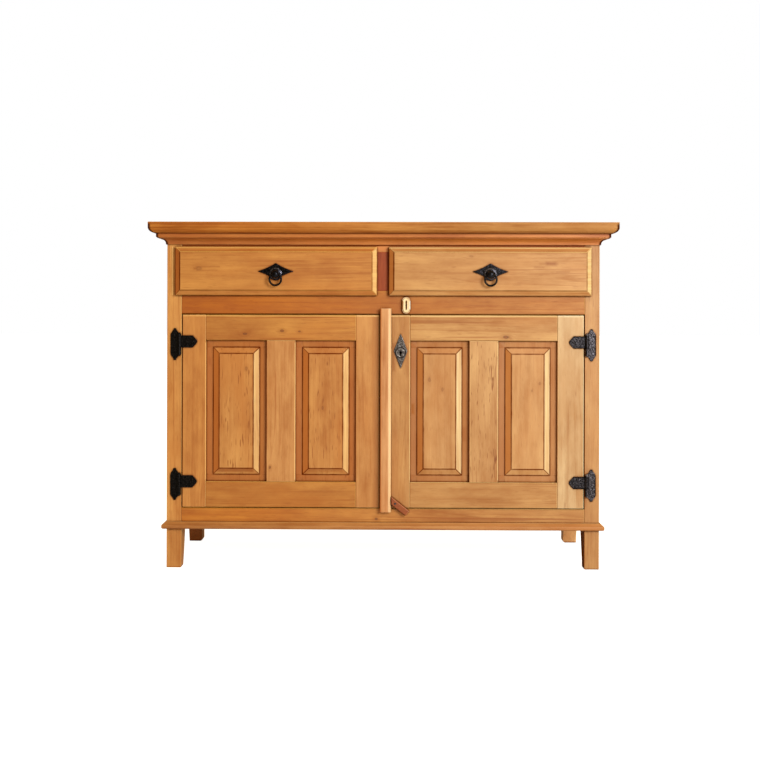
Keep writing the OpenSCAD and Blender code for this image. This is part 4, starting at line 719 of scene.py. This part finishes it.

# Wood: each piece has its own tone and marks, where the photograph shows them. radius is how far its
# arrises are rounded, in mm, and the rest is what waxed_pine says
# Their tones hold painted light as well: the pieces on the right are mostly paler, where the light falls
wood = {
    "top_board": dict(
        tone="#a66523", light_change_tone="#986530", grain="x", thick="z", pith=(0.1, 0.82), lean=(0.5, 0.3),
        pitch=0.155, radius=0.8, streaky=3.6, figure=1.6, sheen=(0.12, 0.56, 0.70),
        # Dark lines along the top edge and down the left end: the one at the left end is painted shade
        stains_and_shade=((0.0, 0.8905, 0.7, 0.0006, 0.0012, 1.0), (-0.6012, 0.88, 0.0008, 0.03, 0.0012, 1.2))),
    "cornice_front": dict(
        tone="#a66126", grain="x", pith=(0.87, -0.26), radius=0.4,
        # Painted shade: a dark line under the top board's rounded edge
        stains_and_shade=((0.0, 0.8616, 0.7, 0.0005, 0.0010, 1.6),)),
    "cornice_sides": dict(tone="#b06a2f", grain="y", thick="x", pith=(0.87, 0.45), radius=0.4),
    "front_post_left": dict(
        tone="#bb813f", pith=(-0.60, -0.16), lean=(0.4, 0.5), radius=1.0, corner_shade=0.7,
        # Painted highlight along an arris beside the left drawer
        bright=((-0.5432, 0.766, 0.0008, 0.062),), stains_and_shade=((-0.54, 0.05, 0.03, 0.06, 0.02, 0.22),)),
    "front_post_right": dict(
        tone="#a67641", pith=(0.50, -0.13), lean=(0.5, -0.4), radius=1.0, seed=3.0,
        stains_and_shade=((0.5563, 0.47, 0.0008, 0.37, 0.0015, 0.7), (0.519, 0.05, 0.0007, 0.056, 0.0008, 1.4))),
    "rear_post_left": dict(
        tone="#bd8650", thick="x", pith=(0.25, -0.50), radius=1.0, seed=4.0, marks_until=0.222,
        # Painted shade on the leg's front face, under the cabinet
        stains_and_shade=((-0.54, 0.03, 0.03, 0.08, 0.02, 0.72),)),
    "rear_post_right": dict(tone="#c4915a", thick="x", pith=(0.25, 0.50), radius=1.0, seed=5.0),
    "top_front_rail": dict(
        tone="#b56e33", grain="x", pith=(0.80, -0.15), seed=6.0,
        # Painted shadow under the crown
        stains_and_shade=((0.0, CROWN_FOOT - 0.002, 0.54, 0.0015, 0.0015, 2.0),)),
    "drawer_rail": dict(
        tone="#9b5212", light_change_tone="#a56a2c", grain="x", pith=(0.70, -0.15), lean=(0.4, 0.6), seed=7.0,
        # Painted shade in the gap above the doors
        stains_and_shade=((0.0, DOOR_GAP_TOP + 0.0010, 0.6, 0.0010, 0.0010, 4.0),)),
    "lower_front_rail": dict(
        tone="#ae6a22", light_change_tone="#a37039", grain="x", pith=(0.16, -0.13), lean=(0.5, 0.3), seed=8.0,
        knots=((0.128, -0.016, 3.0),),
        # Painted shade in the gap below the doors
        stains_and_shade=((0.0, DOOR_GAP_FOOT - 0.0010, 0.6, 0.0008, 0.0010, 4.0),)),
    # The divider's darker tone is painted shade, where it lies back between the drawers
    "drawer_divider": dict(tone="#904012", pith=(0.05, -0.15), seed=9.0),
    "side_rails": dict(tone="#bb7c42", grain="y", thick="x", pith=(0.5, 0.5), pitch=0.35, seed=10.0),
    "side_panels": dict(
        tone="#c08347", thick="x", pith=(0.02, 0.49), seed=11.0,
        knots=((-0.06, 0.62, 5.0), (0.08, 0.31, 4.0))),
    "back_rails": dict(tone="#bd8d5a", grain="x", pith=(0.5, 0.30), pitch=0.35, seed=12.0),
    "back_boards": dict(tone="#c2925e", pith=(0.0, 0.26), pitch=0.173, seed=13.0, radius=0.6),
    "bottom_board": dict(
        tone="#c2925e", grain="x", thick="z", pith=(0.0, 0.10), pitch=0.13, seed=14.0),
    "shelf": dict(tone="#c2925e", grain="x", thick="z", pith=(0.0, 0.36), pitch=0.12, seed=15.0),
    "cleats": dict(tone="#b98a56", grain="x", thick="z", pith=(0.0, 0.2), seed=16.0, radius=0.8),
    "door_stop": dict(tone="#b98a56", grain="x", pith=(0.6, -0.12), seed=17.0, radius=0.8),
    "drawer_runners": dict(
        tone="#b98a56", grain="y", thick="z", pith=(0.0, 0.65), seed=18.0, radius=0.8),
    "drawer_guides": dict(
        tone="#b98a56", grain="y", thick="z", pith=(0.0, 0.9), seed=19.0, radius=0.8),
    "base_moulding_front": dict(
        tone="#a06932", light_change_tone="#aa733d", grain="x", pith=(0.14, -0.17), seed=20.0, radius=1.0,
        streaky=1.5),
    "base_moulding_sides": dict(
        tone="#b5723a", grain="y", thick="x", pith=(0.14, 0.5), seed=21.0, radius=0.5),
    "left_hinge_stile": dict(tone="#b07334", pith=(-0.42, -0.14), lean=(0.5, 0.3), seed=22.0),
    "left_meeting_stile": dict(
        tone="#b17a3f", pith=(-0.10, -0.13), lean=(0.4, -0.3), seed=23.0,
        # Painted shadow cast by the meeting strip
        stains_and_shade=((-0.018, 0.405, 0.006, 0.30, 0.005, 0.35),)),
    "left_door_rails": dict(
        tone="#ab702e", grain="x", pith=(0.60, -0.14), lean=(0.5, 0.4), pitch=0.4, seed=24.0,
        knots=((0.6035, -0.356, 3.4), (0.612, -0.260, 3.2), (0.610, -0.215, 2.2))),
    "left_muntin": dict(
        tone="#b47d43", pith=(-0.30, -0.13), lean=(0.6, 0.2), seed=25.0, knots=((-0.2905, 0.259, 2.6),)),
    "left_panels": dict(
        tone="#b1783a", pith=(-0.36, -0.12), lean=(0.7, 0.3), pitch=0.2625, seed=26.0, radius=0.0,
        figure=0.6, streaky=0.8, flecks=1.4, knot_depth=0.45, pool_and_shade=(*MARGIN_Y, 0.62),
        knots=((-0.1545, 0.413, 3.0), (-0.332, 0.433, 3.0), (-0.352, 0.514, 3.6)),
        rough=((-0.396, 0.274, 0.012, 0.010), (-0.399, 0.357, 0.009, 0.010),
               (-0.332, 0.433, 0.009, 0.014), (-0.352, 0.514, 0.010, 0.016)),
        stains_and_shade=((-0.379, 0.2525, 0.046, 0.005, 0.004, 0.7), (-0.149, 0.2525, 0.046, 0.005, 0.004, 0.4),
                (-0.448, 0.533, 0.003, 0.010, 0.006, 0.9), (-0.222, 0.55, 0.003, 0.014, 0.006, 0.8))),
    "right_hinge_stile": dict(tone="#b18c5c", pith=(0.56, -0.13), lean=(0.4, 0.3), seed=27.0),
    "right_meeting_stile": dict(
        tone="#a7753e", pith=(0.10, -0.14), lean=(0.5, 0.2), seed=28.0,
        # Painted shadow cast to the left by the escutcheon
        stains_and_shade=((0.028, 0.545, 0.003, 0.035, 0.006, 0.7),)),
    "right_door_rails": dict(
        tone="#ac7c43", grain="x", pith=(0.66, -0.13), lean=(0.4, 0.5), pitch=0.4, seed=29.0,
        knots=((0.597, 0.317, 4.4),), stains_and_shade=((0.26, 0.19, 0.26, 0.036, 0.01, 0.14),)),
    "right_muntin": dict(
        tone="#ab7c47", pith=(0.21, -0.14), lean=(0.6, 0.4), seed=30.0, figure=0.5, flecks=1.8,
        rough=((0.280, 0.486, 0.013, 0.045), (0.290, 0.272, 0.012, 0.045))),
    "right_panels": dict(
        tone="#af7f49", pith=(0.16, -0.12), lean=(0.6, 0.5), pitch=0.266, seed=31.0, radius=0.0,
        figure=0.5, streaky=0.7, knot_depth=0.42, pool_and_shade=(*MARGIN_Y, 0.50),
        knots=((0.1208, 0.4867, 4.0), (0.154, 0.461, 3.6), (0.404, 0.478, 3.0), (0.384, 0.459, 2.4)),
        stains_and_shade=((0.0775, 0.411, 0.003, 0.012, 0.006, 1.3), (0.210, 0.346, 0.004, 0.016, 0.008, 0.8))),
    "meeting_strip": dict(tone="#b67f4b", pith=(0.06, -0.15), lean=(0.4, 0.3), seed=32.0, radius=5.0),
    "left_drawer_front": dict(
        tone="#ab6f2f", grain="x", pith=(0.765, -0.145), lean=(1.9, 0.4), along=-0.2, seed=33.0,
        flat=0.15, streaky=1.5, knots=((0.772, -0.472, 5.0),), knot_depth=0.4,
        stains_and_shade=((-0.450, 0.7762, 0.030, 0.0003, 0.0030, 0.65),
                (-0.452, 0.7668, 0.026, 0.0003, 0.0030, 0.55),
                (-0.482, 0.7715, 0.003, 0.0015, 0.0040, 0.7),
                (-0.505, 0.7950, 0.040, 0.0003, 0.0030, 0.4))),
    "right_drawer_front": dict(
        tone="#a9773f", grain="x", pith=(0.755, -0.15), lean=(1.6, -0.5), along=0.35, seed=34.0,
        flat=0.15, streaky=0.7, knots=((0.804, 0.226, 3.6),), knot_depth=0.3,
        stains_and_shade=((0.430, 0.7855, 0.010, 0.0018, 0.008, 0.9), (0.424, 0.785, 0.022, 0.0003, 0.006, 0.6),
                (0.40, 0.776, 0.012, 0.0006, 0.004, 0.6), (0.46, 0.764, 0.016, 0.0006, 0.004, 0.6))),
    "left_drawer_box": dict(
        tone="#c2925e", grain="y", thick="x", pith=(0.80, -0.2), seed=35.0, radius=0.7),
    "right_drawer_box": dict(
        tone="#c2925e", grain="y", thick="x", pith=(0.80, 0.2), seed=36.0, radius=0.7),
    "left_drawer_bottom": dict(
        tone="#c79b68", grain="x", thick="z", pith=(0.0, 0.68), pitch=0.12, seed=37.0, radius=0.5),
    "right_drawer_bottom": dict(
        tone="#c79b68", grain="x", thick="z", pith=(0.0, 0.68), pitch=0.12, seed=38.0, radius=0.5),
    "upper_turn_button": dict(tone="#e2c592", pith=(0.05, -0.18), seed=39.0, radius=1.6, corner_shade=1.0),
    "lower_turn_button": dict(
        tone="#87461f", grain="x", pith=(0.16, -0.18), seed=40.0, radius=1.4, streaky=2.0, corner_shade=1.0),
}

# Marks that the crown's two pieces share, then those of both doors and both drawers
for node in ("top_board", "cornice_front"):
    wood[node]["corner"] = CROWN_CORNER
for side in ("left", "right"):
    # Dark lines in the joints round the rails and the muntin: waxing, and painted shade where they step down
    # to the panels
    for part in ("door_rails", "muntin"):
        wood["%s_%s" % (side, part)]["fields"] = fields_of("%s_%s" % (side, part), 0.0, 0.0)
    for part in ("hinge_stile", "meeting_stile", "door_rails", "muntin"):
        wood["%s_%s" % (side, part)]["marks_until"] = DOOR_MARKS_Y
    # Painted highlights along the doors' top arrises, where light from above catches them
    for part in ("hinge_stile", "meeting_stile", "door_rails"):
        wood["%s_%s" % (side, part)]["bright"] = ((0.0, DOOR_TOP - 3.2 * MM, 0.6, ARRIS_HALF),)
    # Painted highlights along the arrises beside the panels' left sides, which face the light
    panels = solids_of(side + "_panels")
    for part, inner in (("hinge_stile" if side == "left" else "meeting_stile", 0), ("muntin", 1)):
        facts, (low, high) = wood["%s_%s" % (side, part)], panels[inner]
        edge_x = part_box("%s_%s" % (side, part))[1].x - 1.0 * MM
        facts["bright"] = facts.get("bright", ()) + (
            (edge_x, (low[2] + high[2]) / 2, ARRIS_HALF, 0.176),)
    # Their left margins lie in the shade of the frame
    wood[side + "_panels"]["stains_and_shade"] += tuple(
        (low[0] + 17 * MM, (low[2] + high[2]) / 2, 8 * MM, 0.19, 0.002, 0.3 if side == "left" else 0.5)
        for low, high in panels)
    wood[side + "_panels"].update(
        fields=fields_of(side + "_panels", PANEL_MARGIN, PANEL_BEVEL), marks_until=PANEL_MARKS_Y,
        shy=0.35, bleach=(1.8, -0.38), veins=0.5)
    # Painted highlights along the drawers' top arrises
    wood[side + "_drawer_front"].update(
        fields=fields_of(side + "_drawer_front", 0.0, DRAWER_BEVEL), marks_until=DRAWER_MARKS_Y,
        shy=0.35, bright=((0.0, DRAWER_TOP - 3.0 * MM, 0.6, ARRIS_HALF),))
for node, facts in wood.items():
    radius, shy = facts.pop("radius", USUAL_ROUND), facts.pop("shy", 0.0)
    eased(node, waxed_pine("waxed_pine_" + node, **facts), radius, shy)

# Iron: near black on the left, and painted paler and greyer on the right, where the light falls on the right
# hinges, whose plates get painted shade along their rims
black_iron = forged_iron("oiled_forged_iron", "#0a0908", "#2e2a28")
grey_iron = forged_iron("lit_side_forged_iron", "#1c1a1b", "#6b6467", patchy=(0.42, 0.64), outline=[
    box for box in solids_of("hinge_post_plates") if box[0][0] > RIGHT_HINGES_X])
# Painted highlight along the right hinges' barrels
pin_iron = forged_iron("lit_side_pin_iron", "#3a3637", "#b5aead", patchy=(0.40, 0.58))
leaf_iron = forged_iron("lit_side_leaf_iron", "#151314", "#544e4f",
                        outline=solids_of("right_hinge_leaves"))
# The right pull's greyer tone is painted light
left_pull_iron, right_pull_iron = [
    forged_iron("polished_forged_iron_" + side, tone, "#3a383c", dimple=14.0, rough=(0.14, 0.34),
                collar=((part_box(side + "_pull_plate")[0].lerp(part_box(side + "_pull_plate")[1], 0.5).x,
                         0.0, PULL_Z), BOSS_LIGHT_RINGS))
    for side, tone in (("left", "#0b0a0d"), ("right", "#242225"))]
# A ring of painted highlight and shade round the escutcheon's keyhole
plate_iron = forged_iron("brushed_forged_iron", "#3d3836", "#8a837c", collar=(KEYHOLE, KEYHOLE_LIGHT_RINGS))
for node, look, radius in (
        ("hinge_post_plates", black_iron, 0.5), ("hinge_pins", black_iron, 0.3),
        ("carcass_screws", black_iron, 0.2), ("left_hinge_leaves", black_iron, 0.5),
        ("left_door_screws", black_iron, 0.2), ("slide_bolt_plate", black_iron, 0.4),
        ("slide_bolt", black_iron, 0.4), ("lock_keeper", black_iron, 0.5),
        ("right_hinge_leaves", leaf_iron, 0.5), ("right_door_screws", grey_iron, 0.2),
        ("escutcheon", plate_iron, 0.5), ("lock_case", black_iron, 0.5), ("lock_bolt", black_iron, 0.5),
        ("left_pull_plate", left_pull_iron, 0.5), ("left_pull_ring", black_iron, 0.3),
        ("right_pull_plate", right_pull_iron, 0.5), ("right_pull_ring", black_iron, 0.3)):
    thing = eased(node, look, radius)
    if node in ("hinge_post_plates", "hinge_pins", "carcass_screws"):
        thing.data.materials.append(pin_iron if node == "hinge_pins" else grey_iron)
        for face in thing.data.polygons:
            face.material_index = int(face.center.x > RIGHT_HINGES_X)

# A plain pale floor, and a white studio around it
floor_bm = bmesh.new()
bmesh.ops.create_grid(floor_bm, x_segments=2, y_segments=2, size=40.0)
floor_mesh = bpy.data.meshes.new("pale_floor")
floor_bm.to_mesh(floor_mesh)
floor_bm.free()
floor = bpy.data.objects.new("pale_floor", floor_mesh)
bpy.context.scene.collection.objects.link(floor)
paint, tree, out = new_material("matt_white_floor_paint")
speck = add(tree, "ShaderNodeTexNoise", {
    "Vector": add(tree, "ShaderNodeTexCoord").outputs["Object"], "Scale": 30.0})
shade = add(tree, "ShaderNodeMapRange", {0: speck.outputs["Fac"], 3: 0.78, 4: 0.82})
lift = add(tree, "ShaderNodeMath", {0: add(tree, "ShaderNodeLightPath").outputs["Is Camera Ray"], 1: 0.92},
           operation="MULTIPLY")
skin = add(tree, "ShaderNodeBsdfPrincipled", {
    "Base Color": shade.outputs[0], "Roughness": 0.9, "Emission Color": (1.0, 1.0, 1.0, 1.0),
    "Emission Strength": lift.outputs[0]})
tree.links.new(skin.outputs[0], out.inputs[0])
floor_mesh.materials.append(paint)

# The room's light falls mostly from the right, the front and above; the backdrop itself stays white
studio = bpy.data.worlds.new("white_studio")
studio.use_nodes = True
tree = studio.node_tree
tree.nodes.clear()
toward = add(tree, "ShaderNodeVectorMath", {
    0: add(tree, "ShaderNodeTexCoord").outputs["Generated"], 1: (0.62, -0.58, 0.53)},
    operation="DOT_PRODUCT").outputs["Value"]
glow = add(tree, "ShaderNodeMapRange", {0: toward, 1: -1.0, 2: 1.0, 3: 0.10, 4: 0.90}).outputs[0]
seen = add(tree, "ShaderNodeLightPath").outputs["Is Camera Ray"]
glow = add(tree, "ShaderNodeMath", {0: glow, 1: seen}, operation="MAXIMUM").outputs[0]
tint = add(tree, "ShaderNodeMix", {0: seen, 6: (1.0, 0.78, 0.50, 1.0), 7: (1.0, 1.0, 1.0, 1.0)},
           data_type="RGBA").outputs[2]
room = add(tree, "ShaderNodeBackground", {"Color": tint, "Strength": glow})
tree.links.new(room.outputs[0], add(tree, "ShaderNodeOutputWorld").inputs[0])
bpy.context.scene.world = studio
bpy.context.scene.view_settings.view_transform = "Standard"
bpy.context.scene.view_settings.look = "None"

# One square soft box to the right, cool as daylight, looks at the cabinet's front
lamp = bpy.data.lights.new("key_from_the_right", "AREA")
lamp.shape = "SQUARE"
lamp.size = 1.5
lamp.energy = 155.0
lamp.color = (0.82, 0.91, 1.0)
stand = bpy.data.objects.new("key_from_the_right", lamp)
stand.location = (1.9, -3.0, 1.6)
stand.rotation_euler = (Vector((0.0, -0.2, 0.5)) - stand.location).to_track_quat("-Z", "Y").to_euler()
bpy.context.scene.collection.objects.link(stand)
